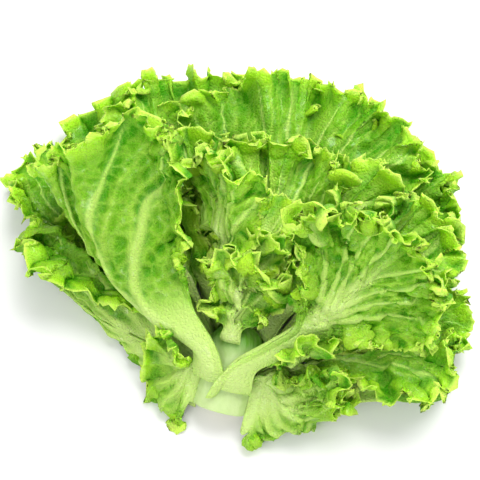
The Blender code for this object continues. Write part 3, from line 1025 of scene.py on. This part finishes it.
class Number:
    """A socket that carries a number, so that shader maths reads as Python."""

    def __init__(self, tree, socket):
        """Wrap one output socket."""
        self.tree = tree
        self.socket = socket

    def _maths(self, operation, *values):
        """Add a Math node and return its result."""
        node = self.tree.nodes.new("ShaderNodeMath")
        node.operation = operation
        for socket, value in zip(node.inputs, values):
            if isinstance(value, Number):
                self.tree.links.new(value.socket, socket)
            else:
                socket.default_value = value
        return Number(self.tree, node.outputs[0])

    def __add__(self, other):
        return self._maths("ADD", self, other)

    def __radd__(self, other):
        return self._maths("ADD", other, self)

    def __sub__(self, other):
        return self._maths("SUBTRACT", self, other)

    def __rsub__(self, other):
        return self._maths("SUBTRACT", other, self)

    def __mul__(self, other):
        return self._maths("MULTIPLY", self, other)

    def __rmul__(self, other):
        return self._maths("MULTIPLY", other, self)

    def held(self, low=0.0, high=1.0):
        """Return the number kept between two limits."""
        return self._maths("MAXIMUM", self._maths("MINIMUM", self, high), low)


class Finish:
    """One material's nodes, made around its Principled shader."""

    def __init__(self, name, look):
        """Start a material with a display colour."""
        self.material = bpy.data.materials.new(name)
        self.material.use_nodes = True
        self.material.diffuse_color = (*look, 1.0)
        self.tree = self.material.node_tree
        self.shader = self.tree.nodes["Principled BSDF"]

    def node(self, kind, settings=None, **sockets):
        """Add a node with its settings, and set or link its sockets by name."""
        node = self.tree.nodes.new(kind)
        for name, value in (settings or {}).items():
            setattr(node, name, value)
        for name, value in sockets.items():
            self.feed(node.inputs[name.replace("_", " ")], value)
        return node

    def feed(self, socket, value):
        """Link a value to a socket, or set it there."""
        if isinstance(value, Number):
            value = value.socket
        if isinstance(value, bpy.types.NodeSocket):
            self.tree.links.new(value, socket)
        else:
            socket.default_value = value

    def number(self, socket):
        """Wrap a socket for maths."""
        return Number(self.tree, socket)

    def stored(self, name):
        """Return a number that is stored on the mesh."""
        node = self.node("ShaderNodeAttribute", {"attribute_name": name})
        return self.number(node.outputs["Fac"])

    def places(self):
        """Return where each point lies, in millimetres."""
        here = self.node("ShaderNodeTexCoord")
        grown = self.node("ShaderNodeVectorMath", {"operation": "SCALE"}, Vector=here.outputs["Object"])
        grown.inputs["Scale"].default_value = 1.0 / MM
        return grown.outputs["Vector"]

    def noise(self, places, size, detail=2.0):
        """Return soft noise from 0 to 1 with cells of that many millimetres."""
        node = self.node(
            "ShaderNodeTexNoise", Vector=places, Scale=1.0 / size, Detail=detail, Roughness=0.55
        )
        return self.number(node.outputs["Fac"])

    def net(self, places, size):
        """Return the distance from the edges of a net of cells, about 0 to 0.5."""
        node = self.node(
            "ShaderNodeTexVoronoi", {"feature": "DISTANCE_TO_EDGE"}, Vector=places, Scale=1.0 / size
        )
        return self.number(node.outputs["Distance"])

    def blend(self, first, second, share):
        """Return one colour turning into another."""
        node = self.node("ShaderNodeMix", {"data_type": "RGBA"})
        self.feed(node.inputs[MIX_SHARE], share)
        self.feed(node.inputs[MIX_FIRST], (*first, 1.0) if isinstance(first, tuple) else first)
        self.feed(node.inputs[MIX_SECOND], (*second, 1.0) if isinstance(second, tuple) else second)
        return node.outputs[MIX_RESULT]

    def step(self, value, low, high):
        """Return a smooth rise from 0 at low to 1 at high."""
        node = self.node("ShaderNodeMapRange", {"interpolation_type": "SMOOTHSTEP"}, Value=value)
        node.inputs["From Min"].default_value = low
        node.inputs["From Max"].default_value = high
        return self.number(node.outputs["Result"])

    def bump(self, height, distance, under=None):
        """Return a normal that a height field raises, over another one if given."""
        node = self.node("ShaderNodeBump", Height=height)
        node.inputs["Distance"].default_value = distance
        if under is not None:
            self.feed(node.inputs["Normal"], under)
        return node.outputs["Normal"]

    def glow(self, weight, radius, scale):
        """Let light pass under the surface."""
        self.shader.subsurface_method = "BURLEY"
        self.shader.inputs["Subsurface Weight"].default_value = weight
        self.shader.inputs["Subsurface Radius"].default_value = radius
        self.shader.inputs["Subsurface Scale"].default_value = scale


# Patterns on a leaf: sizes in millimetres, and heights in metres
PATCH_SIZE = 30.0
SPECK_SIZE = 5.0
SMALL_NET_SIZE = 2.4
SMALL_NET_RISE = 0.00035
GRAIN_SIZE = 0.9
GRAIN_RISE = 0.00008

# Width of the bright rim and its unevenness, and where the pale edge starts and ends, in millimetres
RIM_WIDTH = 15.0
RIM_UNEVEN = 8.0
EDGE_INNER = 2.4
EDGE_OUTER = 0.4

# How strongly each thing colours a leaf
PATCH_STRENGTH = 1.8
SPECK_STRENGTH = 0.9
# Painted shade: how strongly it darkens the flanks beside the ribs and the folds, and its greatest share
FLANK_SHADE_STRENGTH = 1.4
FOLD_SHADE_STRENGTH = 1.15
DEEPEST_PAINTED_SHADE = 0.95
BLISTER_LINE_STRENGTH = 0.3
SMALL_LINE_STRENGTH = 0.16
VEIN_STRENGTH = 0.4
EDGE_STRENGTH = 0.75

# How pale the ribs, their branches and the foot are, and how whitish
BRANCH_PALE = 0.9
FOOT_PALE = 0.8
RIB_WHITE = 0.7
BRANCH_WHITE = 0.35
FOOT_WHITE = 0.35

# Wet patches: their share, the noise at which they start and are full, and the damp between them
WET_SHARE = 0.7
WET_START = 0.5
WET_FULL = 0.68
DAMP_SHARE = 0.2

# Light inside a leaf and inside the stem: share, reach of red, green and blue, and scale in metres
LEAF_GLOW = (0.55, (0.6, 1.0, 0.2), 0.0018)
STEM_GLOW = (0.5, (1.0, 1.0, 0.5), 0.003)

# Widths of drawn lines, as shares of a cell of their net
SMALL_LINE = 0.1
BLISTER_LINE = 0.3
PORE_LINE = 0.1

# A leaf's roughness, and how much specks and small veins add to it
LEAF_ROUGHNESS = 0.3
SPECK_ROUGHNESS = 0.24
VEIN_ROUGHNESS = 0.1

# The stem's roughness, and how much its streaks add to it
STEM_ROUGHNESS = 0.36
STREAK_ROUGHNESS = 0.25

# The wet coat and the shine of a leaf
COAT_ROUGHNESS = 0.15
LEAF_SPECULAR = 0.08

# Patterns on the stem: sizes in millimetres, how long the streaks are drawn, and heights in metres
STREAK_SIZE = 2.2
STREAK_DRAWN = 0.14
BLOTCH_SIZE = 9.0
PORE_SIZE = 1.6
STREAK_RISE = 0.0006
PORE_RISE = 0.0003


def blade_colour(finish, colours, patches, specks):
    """Return the blade's green: patches, the bright rim, and painted shade in the folds and on the flanks of
    the ribs.
    """
    patch = finish.stored("shade") + PATCH_STRENGTH * (patches - 0.5) + SPECK_STRENGTH * (specks - 0.5)
    green = finish.blend(tuple(colours.shadow), tuple(colours.blade), patch.held())
    margin = finish.stored("margin") * MARGIN_DEPTH
    rim = (1.0 - finish.step(margin + RIM_UNEVEN * (patches - 0.5), 1.0, RIM_WIDTH)).held()
    green = finish.blend(green, tuple(colours.rim), rim * (0.7 + 0.3 * patches))
    branch = finish.stored("branch")
    # Painted shade: the folds and the flanks beside the ribs turn towards the deep green of the shade colour
    dark = finish.stored("hollow") * FOLD_SHADE_STRENGTH + FLANK_SHADE_STRENGTH * branch * (1.0 - branch)
    return finish.blend(green, tuple(colours.hollow), dark.held(0.0, DEEPEST_PAINTED_SHADE))


def veined_colour(finish, colours, green, small_vein):
    """Return the green with its net of veins, its pale ribs and foot, and its pale edge."""
    blister_vein = 1.0 - finish.step(finish.stored("net"), 0.0, BLISTER_LINE)
    lines = BLISTER_LINE_STRENGTH * blister_vein + SMALL_LINE_STRENGTH * small_vein
    lines = lines + VEIN_STRENGTH * finish.stored("vein")
    green = finish.blend(green, tuple(colours.vein), lines.held())
    branch = finish.stored("branch")
    foot = finish.stored("foot")
    rib = finish.stored("rib")
    pale = finish.step(branch, 0.3, 1.0) * BRANCH_PALE + rib + foot * FOOT_PALE
    green = finish.blend(green, tuple(colours.vein), pale.held())
    whitish = rib * RIB_WHITE + branch * BRANCH_WHITE + foot * FOOT_WHITE
    green = finish.blend(green, tuple(colours.rib), whitish.held())
    edge = 1.0 - finish.step(finish.stored("margin") * MARGIN_DEPTH, EDGE_OUTER, EDGE_INNER)
    return finish.blend(green, tuple(colours.edge), edge * EDGE_STRENGTH)


def leaf_finish(name, colours):
    """Return a leaf's material: green blade, bright rim, pale ribs and a net of small veins."""
    finish = Finish(name, tuple(colours.blade))
    places = finish.places()
    patches = finish.noise(places, PATCH_SIZE)
    specks = finish.noise(places, SPECK_SIZE, 3.0)
    small_net = finish.net(places, SMALL_NET_SIZE)
    small_vein = 1.0 - finish.step(small_net, 0.0, SMALL_LINE)
    green = blade_colour(finish, colours, patches, specks)
    green = veined_colour(finish, colours, green, small_vein)
    finish.feed(finish.shader.inputs["Base Color"], green)
    rough = LEAF_ROUGHNESS + SPECK_ROUGHNESS * specks + VEIN_ROUGHNESS * small_vein
    finish.feed(finish.shader.inputs["Roughness"], rough.held(0.2, 0.8))
    swell = finish.bump(finish.step(small_net, 0.0, 0.32), SMALL_NET_RISE)
    grain = finish.bump(finish.noise(places, GRAIN_SIZE, 2.0), GRAIN_RISE, swell)
    finish.feed(finish.shader.inputs["Normal"], grain)
    finish.glow(*LEAF_GLOW)
    wet = WET_SHARE * finish.step(specks, WET_START, WET_FULL) + DAMP_SHARE * patches
    # No coat where shade is painted in the folds, so that the painted shade stays deep
    wet = wet * (1.0 - finish.stored("hollow"))
    finish.feed(finish.shader.inputs["Coat Weight"], wet.held())
    finish.shader.inputs["Coat Roughness"].default_value = COAT_ROUGHNESS
    finish.shader.inputs["Specular IOR Level"].default_value = LEAF_SPECULAR
    return finish.material


def stem_finish(colours):
    """Return the stem's material: pale and faintly streaked, browner at its cut end."""
    finish = Finish("stem", tuple(colours.side))
    places = finish.places()
    drawn = finish.node("ShaderNodeMapping", Vector=places)
    drawn.inputs["Scale"].default_value = (1.0, STREAK_DRAWN, 1.0)
    streaks = finish.noise(drawn.outputs["Vector"], STREAK_SIZE, 3.0)
    blotches = finish.noise(places, BLOTCH_SIZE, 3.0)
    cut = finish.stored("cut")
    pores = 1.0 - finish.step(finish.net(places, PORE_SIZE), 0.0, PORE_LINE)
    greener = 1.5 * (blotches - 0.35) + 0.4 * streaks
    tone = finish.blend(tuple(colours.side), tuple(colours.green), greener.held())
    browner = 0.45 * pores + 1.1 * (blotches - 0.4)
    face = finish.blend(tuple(colours.face), tuple(colours.brown), browner.held())
    crown = finish.stored("crown") * (0.5 + 0.9 * streaks)
    tone = finish.blend(tone, tuple(colours.crown), crown.held())
    finish.feed(finish.shader.inputs["Base Color"], finish.blend(tone, face, cut.held()))
    rough = STEM_ROUGHNESS + STREAK_ROUGHNESS * streaks
    finish.feed(finish.shader.inputs["Roughness"], rough.held(0.2, 0.9))
    swell = finish.bump(streaks, STREAK_RISE)
    finish.feed(finish.shader.inputs["Normal"], finish.bump(pores * cut, PORE_RISE, swell))
    finish.glow(*STEM_GLOW)
    return finish.material


def floor_finish(colour):
    """Return the stage's material: plain, pale and matt, with a breath of unevenness."""
    finish = Finish("stage_floor", tuple(colour))
    finish.shader.inputs["Roughness"].default_value = FLOOR_ROUGHNESS
    here = finish.node("ShaderNodeTexCoord")
    haze = finish.node("ShaderNodeTexNoise", Vector=here.outputs["Object"], Scale=2.0)
    share = finish.number(haze.outputs["Fac"])
    tone = finish.blend(tuple(colour), tuple(FLOOR_HAZE * part for part in colour), share)
    finish.feed(finish.shader.inputs["Base Color"], tone)
    return finish.material


def deselect_all():
    """Leave nothing selected, because the packed nodes start selected."""
    for item in bpy.context.selected_objects:
        item.select_set(False)


def add_grid(name, cells):
    """Add a grid, and return it with each vertex's place across and along it, from 0 to 1."""
    deselect_all()
    bpy.ops.mesh.primitive_grid_add(x_subdivisions=cells[0], y_subdivisions=cells[1], size=2.0)
    body = bpy.context.object
    body.name = name
    body.data.name = name
    flat = np.empty(len(body.data.vertices) * 3)
    body.data.vertices.foreach_get("co", flat)
    shares = (flat.reshape(-1, 3) + 1.0) / 2.0
    return body, shares[:, 0], shares[:, 1]


def shape_grid(body, points):
    """Move the grid's vertices to points in millimetres, with its object at the origin."""
    body.data.vertices.foreach_set("co", (points * MM).reshape(-1))
    body.location = (0.0, 0.0, 0.0)


def store(data, name, values):
    """Keep a number for each vertex on the mesh."""
    layer = data.attributes.new(name, "FLOAT", "POINT")
    layer.data.foreach_set("value", values.astype(np.float32))


def stored_fields(leaf, fields):
    """Return what the leaf's material reads from its mesh."""
    look = look_of(leaf)
    margin = fields["margin"] + MARGIN_DEPTH * (1.0 - soft_step(RIM_START, RIM_FULL, fields["blade"]))
    foot = 1.0 - soft_step(FOOT_START, look.foot, fields["along"])
    return {
        "margin": np.clip(margin / MARGIN_DEPTH, 0.0, 1.0),
        "rib": fields["rib"],
        "branch": fields["branch"],
        "vein": fields["vein"],
        "hollow": fields["hollow"],
        "net": np.clip(fields["net"], 0.0, 1.0),
        "foot": foot,
        "shade": np.full_like(foot, look.shade),
    }


def leaf_grid(leaf, sheet, fields):
    """Add a grid with the leaf's points and fields, and return it with each vertex's row and column."""
    cells = cells_of(leaf)
    body, across, along = add_grid(leaf.name + "_frilled", cells)
    place = np.rint(along * cells[1]).astype(int), np.rint(across * cells[0]).astype(int)
    shape_grid(body, sheet[place])
    for name, values in stored_fields(leaf, fields).items():
        store(body.data, name, values[place])
    return body, place


def thicken(body, thickness):
    """Give the sheet its thickness at each vertex, away from the head's axis."""
    group = body.vertex_groups.new(name="thickness")
    shares = np.rint(thickness / thickness.max() * THICKNESS_STEPS) / THICKNESS_STEPS
    for share in np.unique(shares):
        group.add(np.flatnonzero(shares == share).tolist(), float(share), "REPLACE")
    solid = body.modifiers.new("Thickness", "SOLIDIFY")
    solid.thickness = float(thickness.max()) * MM
    solid.offset = -1.0
    solid.vertex_group = group.name
    bpy.ops.object.modifier_apply(modifier=solid.name)
    body.vertex_groups.clear()


def place_piece(body, node):
    """Give a finished piece its place in the frame."""
    bpy.ops.object.shade_smooth()
    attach(body, "root")
    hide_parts(node)


def add_leaves(kind, scene):
    """Add all the leaves of one kind over the packed ones."""
    slot = LOOKS[kind].slot
    colours = getattr(scene, "lettuce_" + slot.removesuffix("_leaf"))
    material = leaf_finish(slot + "_green_" + kind, colours)
    for index, (leaf, points) in enumerate(head_leaves()):
        if kind_of(leaf) != kind:
            continue
        sheet, thickness, fields = shaped_leaf(leaf, index, points, scene.lettuce_frill)
        body, place = leaf_grid(leaf, sheet, fields)
        body.data.materials.append(material)
        thicken(body, thickness[place])
        place_piece(body, leaf.name)


HEAD = []


def head_leaves():
    """Return the head's leaves and their sheets, laid once."""
    if not HEAD:
        HEAD.extend(arrange_leaves())
    return HEAD


def stem_radius_at(height):
    """Return the stem's radius at a height below or above the middle of its dome."""
    radius = np.sqrt(np.maximum(STEM_RADIUS**2 - np.maximum(height, 0.0) ** 2, 0.0))
    edge = np.clip((height + STEM_LENGTH) / CUT_EDGE, 0.0, 1.0)
    return radius * ((1.0 - EDGE_SHARE) + EDGE_SHARE * np.sqrt(1.0 - (1.0 - edge) ** 2))


def stem_shape(turn, way):
    """Return the stem's points, their heights and which are on the cut.

    A point is given by its turn and by its way from the middle of the cut, over its edge and up
    the side to the top of the dome. The flutes don't meet where the first turn and the last one
    join, so a thin seam stays open there.
    """
    on_cut = way < CUT_SHARE
    rise = np.clip((way - CUT_SHARE) / (1.0 - CUT_SHARE), 0.0, 1.0)
    height = (STEM_LENGTH + STEM_RADIUS) * rise - STEM_LENGTH
    side = stem_radius_at(height)
    out = np.where(on_cut, side * way / CUT_SHARE, side)
    flutes = sum(size * wander(turn / math.pi * count, seed) for count, size, seed in FLUTES)
    scars = np.maximum(wander(height / SCAR_GAP + SCAR_SLANT * np.sin(turn), SCAR_SEED), 0.0)
    swell = STEM_PROUD + flutes + SCAR_HEIGHT * scars
    out = out + swell * np.clip(out / STEM_RADIUS, 0.0, 1.0) ** 4
    across = out * np.cos(turn)
    over = out * np.sin(turn)
    rough = CUT_ROUGH * cloud(np.stack([across, over, height], axis=-1), CUT_SEED)
    sunk = np.where(on_cut, CUT_SUNK * (1.0 - (way / CUT_SHARE) ** 2) + rough, 0.0)
    points = settle(to_world(across, over, height + sunk))
    points[:, 2] = np.maximum(points[:, 2], 0.0)
    return points, height, on_cut


def merge_points():
    """Merge the points that meet, and turn the faces outwards."""
    bpy.ops.object.mode_set(mode="EDIT")
    bpy.ops.mesh.select_all(action="SELECT")
    bpy.ops.mesh.remove_doubles(threshold=MERGE_GAP * MM)
    bpy.ops.mesh.normals_make_consistent(inside=False)
    bpy.ops.object.mode_set(mode="OBJECT")


def add_stem(colours):
    """Add the cut stem: a fluted stalk with a round top and a flat, dark cut."""
    body, across, along = add_grid("cut_stem", STEM_CELLS)
    points, height, on_cut = stem_shape((2.0 * across - 1.0) * math.pi, along)
    shape_grid(body, points)
    store(body.data, "cut", on_cut.astype(float))
    store(body.data, "crown", soft_step(CROWN_START, CROWN_END, height))
    merge_points()
    body.data.materials.append(stem_finish(colours))
    place_piece(body, "stem")


def add_floor(colour):
    """Add the plain floor that the head lies on."""
    deselect_all()
    bpy.ops.mesh.primitive_plane_add(size=FLOOR_WIDTH, location=(0.0, 0.0, 0.0))
    floor = bpy.context.object
    floor.name = "stage_floor"
    floor.data.materials.append(floor_finish(colour))


def add_lamp(name, place, aim, width, power):
    """Add one soft lamp that points at a place."""
    bpy.ops.object.light_add(type="AREA", location=place)
    lamp = bpy.context.object
    lamp.name = name
    lamp.data.shape = "DISK"
    lamp.data.size = width
    lamp.data.energy = power
    lamp.rotation_euler = (Vector(aim) - Vector(place)).to_track_quat("-Z", "Y").to_euler()


def add_sky(strength):
    """Light the scene evenly from all round."""
    world = bpy.data.worlds.new("studio")
    world.use_nodes = True
    shade = world.node_tree.nodes["Background"]
    shade.inputs["Color"].default_value = (1.0, 1.0, 1.0, 1.0)
    shade.inputs["Strength"].default_value = strength
    bpy.context.scene.world = world


def add_camera():
    """Look down on the head from the photograph's side."""
    rise = math.radians(CAMERA_RISE)
    view = Vector((0.0, math.cos(rise), -math.sin(rise)))
    up = Vector((0.0, math.sin(rise), math.cos(rise)))
    right = Vector((1.0, 0.0, 0.0))
    middle = Vector(settle(np.array(STEM_CENTRE)) * MM)
    target = middle + up * CAMERA_UP * MM + right * CAMERA_RIGHT * MM
    bpy.ops.object.camera_add(location=target - view * CAMERA_AWAY)
    camera = bpy.context.object
    camera.rotation_euler = Matrix((right, up, -view)).transposed().to_euler()
    camera.data.lens = CAMERA_LENS
    camera.data.sensor_width = CAMERA_SENSOR
    camera.data.clip_start = CAMERA_NEAR
    bpy.context.scene.camera = camera
    bpy.context.scene.view_settings.view_transform = "Standard"


class FrillSizes(bpy.types.PropertyGroup):
    """Sizes of the leaves' small forms."""

    frill: FloatProperty(
        name="Frill", description="Height of the waves along the rims, as a share of the usual",
        default=1.0, min=0.0, max=1.5, subtype="FACTOR",
    )
    blister: FloatProperty(
        name="Blisters", description="Depth of the blisters between the veins, as a share of the usual",
        default=1.0, min=0.0, max=2.0, subtype="FACTOR",
    )


def colour_property(name, description, default):
    """Return a colour that the user may change."""
    return FloatVectorProperty(
        name=name, description=description, default=default, size=3, min=0.0, max=1.0, subtype="COLOR"
    )


# The parts of a leaf that have a colour: label and description
LEAF_PARTS = {
    "blade": ("Blade", "Green of the blade"),
    "shadow": ("Deep", "Deeper green in patches"),
    # Painted shade: the deep green laid into the folds and beside the ribs
    "hollow": ("Hollow", "Darkest green down in the folds"),
    "rim": ("Rim", "Bright green of the frilled rim"),
    "edge": ("Edge", "Pale line of the very edge"),
    "vein": ("Vein", "Pale green of the veins"),
    "rib": ("Rib", "Whitish green of the ribs"),
}


def leaf_colour(part, default):
    """Return the colour of one part of a leaf."""
    return colour_property(*LEAF_PARTS[part], default)


class OuterColours(bpy.types.PropertyGroup):
    """Colours of the outer leaves."""

    blade: leaf_colour("blade", (0.2, 0.465, 0.014))
    shadow: leaf_colour("shadow", (0.06, 0.27, 0.003))
    hollow: leaf_colour("hollow", (0.04, 0.26, 0.001))
    rim: leaf_colour("rim", (0.38, 0.69, 0.022))
    edge: leaf_colour("edge", (0.62, 0.83, 0.13))
    vein: leaf_colour("vein", (0.41, 0.65, 0.08))
    rib: leaf_colour("rib", (0.57, 0.76, 0.23))


class InnerColours(bpy.types.PropertyGroup):
    """Colours of the inner leaves."""

    blade: leaf_colour("blade", (0.25, 0.53, 0.017))
    shadow: leaf_colour("shadow", (0.08, 0.3, 0.004))
    hollow: leaf_colour("hollow", (0.04, 0.26, 0.001))
    rim: leaf_colour("rim", (0.42, 0.72, 0.026))
    edge: leaf_colour("edge", (0.65, 0.85, 0.15))
    vein: leaf_colour("vein", (0.45, 0.68, 0.095))
    rib: leaf_colour("rib", (0.6, 0.78, 0.25))


class HeartColours(bpy.types.PropertyGroup):
    """Colours of the heart's young leaves."""

    blade: leaf_colour("blade", (0.34, 0.62, 0.023))
    shadow: leaf_colour("shadow", (0.15, 0.42, 0.01))
    hollow: leaf_colour("hollow", (0.05, 0.3, 0.003))
    rim: leaf_colour("rim", (0.5, 0.77, 0.035))
    edge: leaf_colour("edge", (0.7, 0.87, 0.18))
    vein: leaf_colour("vein", (0.5, 0.72, 0.12))
    rib: leaf_colour("rib", (0.62, 0.78, 0.25))


class StemColours(bpy.types.PropertyGroup):
    """Colours of the cut stem."""

    side: colour_property("Side", "Pale side of the stem", (0.6, 0.74, 0.34))
    green: colour_property("Green", "Greener streaks", (0.44, 0.64, 0.2))
    crown: colour_property("Crown", "Green of the hidden crown between the stalks", (0.13, 0.38, 0.015))
    face: colour_property("Cut", "Fresh cut face", (0.72, 0.74, 0.46))
    brown: colour_property("Dry", "Dried spots on the cut", (0.5, 0.4, 0.18))


class StageLook(bpy.types.PropertyGroup):
    """The plain stage and its lights."""

    floor: colour_property("Floor", "Plain pale floor", (0.96, 0.96, 0.96))
    sky: FloatProperty(
        name="Sky", description="Strength of the even light", default=0.6, min=0.0, max=4.0
    )
    key: FloatProperty(
        name="Key", description="Power of the main lamp", default=25.0, min=0.0, max=200.0, unit="POWER"
    )
    fill: FloatProperty(
        name="Fill", description="Power of the front lamp", default=7.0, min=0.0, max=200.0, unit="POWER"
    )


SETTINGS = {
    "lettuce_frill": FrillSizes,
    "lettuce_outer": OuterColours,
    "lettuce_inner": InnerColours,
    "lettuce_heart": HeartColours,
    "lettuce_stem": StemColours,
    "lettuce_stage": StageLook,
}


class LETTUCE_OT_outer_leaves(bpy.types.Operator):
    """Add the outer leaves that fan out on the floor"""

    bl_idname = "lettuce.outer_leaves"
    bl_label = "Outer Leaves"

    def execute(self, context):
        add_leaves("outer", context.scene)
        return {"FINISHED"}


class LETTUCE_OT_front_leaves(bpy.types.Operator):
    """Add the two broad leaves in front of the heart"""

    bl_idname = "lettuce.front_leaves"
    bl_label = "Front Leaves"

    def execute(self, context):
        add_leaves("front", context.scene)
        return {"FINISHED"}


class LETTUCE_OT_small_leaves(bpy.types.Operator):
    """Add the small leaves near the foot of the stem"""

    bl_idname = "lettuce.small_leaves"
    bl_label = "Small Leaves"

    def execute(self, context):
        add_leaves("small", context.scene)
        return {"FINISHED"}


class LETTUCE_OT_inner_leaves(bpy.types.Operator):
    """Add the inner and middle leaves round the heart"""

    bl_idname = "lettuce.inner_leaves"
    bl_label = "Inner Leaves"

    def execute(self, context):
        add_leaves("inner", context.scene)
        add_leaves("middle", context.scene)
        return {"FINISHED"}


class LETTUCE_OT_heart_leaves(bpy.types.Operator):
    """Add the young leaves of the heart"""

    bl_idname = "lettuce.heart_leaves"
    bl_label = "Heart Leaves"

    def execute(self, context):
        add_leaves("heart", context.scene)
        return {"FINISHED"}


class LETTUCE_OT_stem(bpy.types.Operator):
    """Add the cut stem"""

    bl_idname = "lettuce.stem"
    bl_label = "Cut Stem"

    def execute(self, context):
        add_stem(context.scene.lettuce_stem)
        return {"FINISHED"}


class LETTUCE_OT_stage(bpy.types.Operator):
    """Add the floor, the lamps and the camera"""

    bl_idname = "lettuce.stage"
    bl_label = "Stage"

    def execute(self, context):
        look = context.scene.lettuce_stage
        add_floor(look.floor)
        add_sky(look.sky)
        add_lamp("key_lamp", *KEY_LAMP, look.key)
        add_lamp("fill_lamp", *FILL_LAMP, look.fill)
        add_camera()
        return {"FINISHED"}


PIECES = (
    LETTUCE_OT_stem,
    LETTUCE_OT_heart_leaves,
    LETTUCE_OT_inner_leaves,
    LETTUCE_OT_front_leaves,
    LETTUCE_OT_outer_leaves,
    LETTUCE_OT_small_leaves,
    LETTUCE_OT_stage,
)


class LETTUCE_PT_panel(bpy.types.Panel):
    """List the head's pieces in the sidebar"""

    bl_idname = "LETTUCE_PT_panel"
    bl_label = "Curly Leaf Lettuce"
    bl_space_type = "VIEW_3D"
    bl_region_type = "UI"
    bl_category = "Lettuce"

    def draw(self, context):
        for piece in PIECES:
            self.layout.operator(piece.bl_idname)
        for name in SETTINGS:
            group = getattr(context.scene, name)
            box = self.layout.box()
            box.label(text=group.__doc__ or name)
            for key in group.__annotations__:
                box.prop(group, key)


CLASSES = (*SETTINGS.values(), *PIECES, LETTUCE_PT_panel)


def register():
    """Register the classes and their settings."""
    for item in CLASSES:
        bpy.utils.register_class(item)
    for name, group in SETTINGS.items():
        setattr(bpy.types.Scene, name, PointerProperty(type=group))


def unregister():
    """Take the settings and the classes away again."""
    for name in SETTINGS:
        delattr(bpy.types.Scene, name)
    for item in reversed(CLASSES):
        bpy.utils.unregister_class(item)


def main():
    """Build every piece in order."""
    register()
    for piece in PIECES:
        group, name = piece.bl_idname.split(".")
        getattr(getattr(bpy.ops, group), name)()


if __name__ == "__main__":
    main()
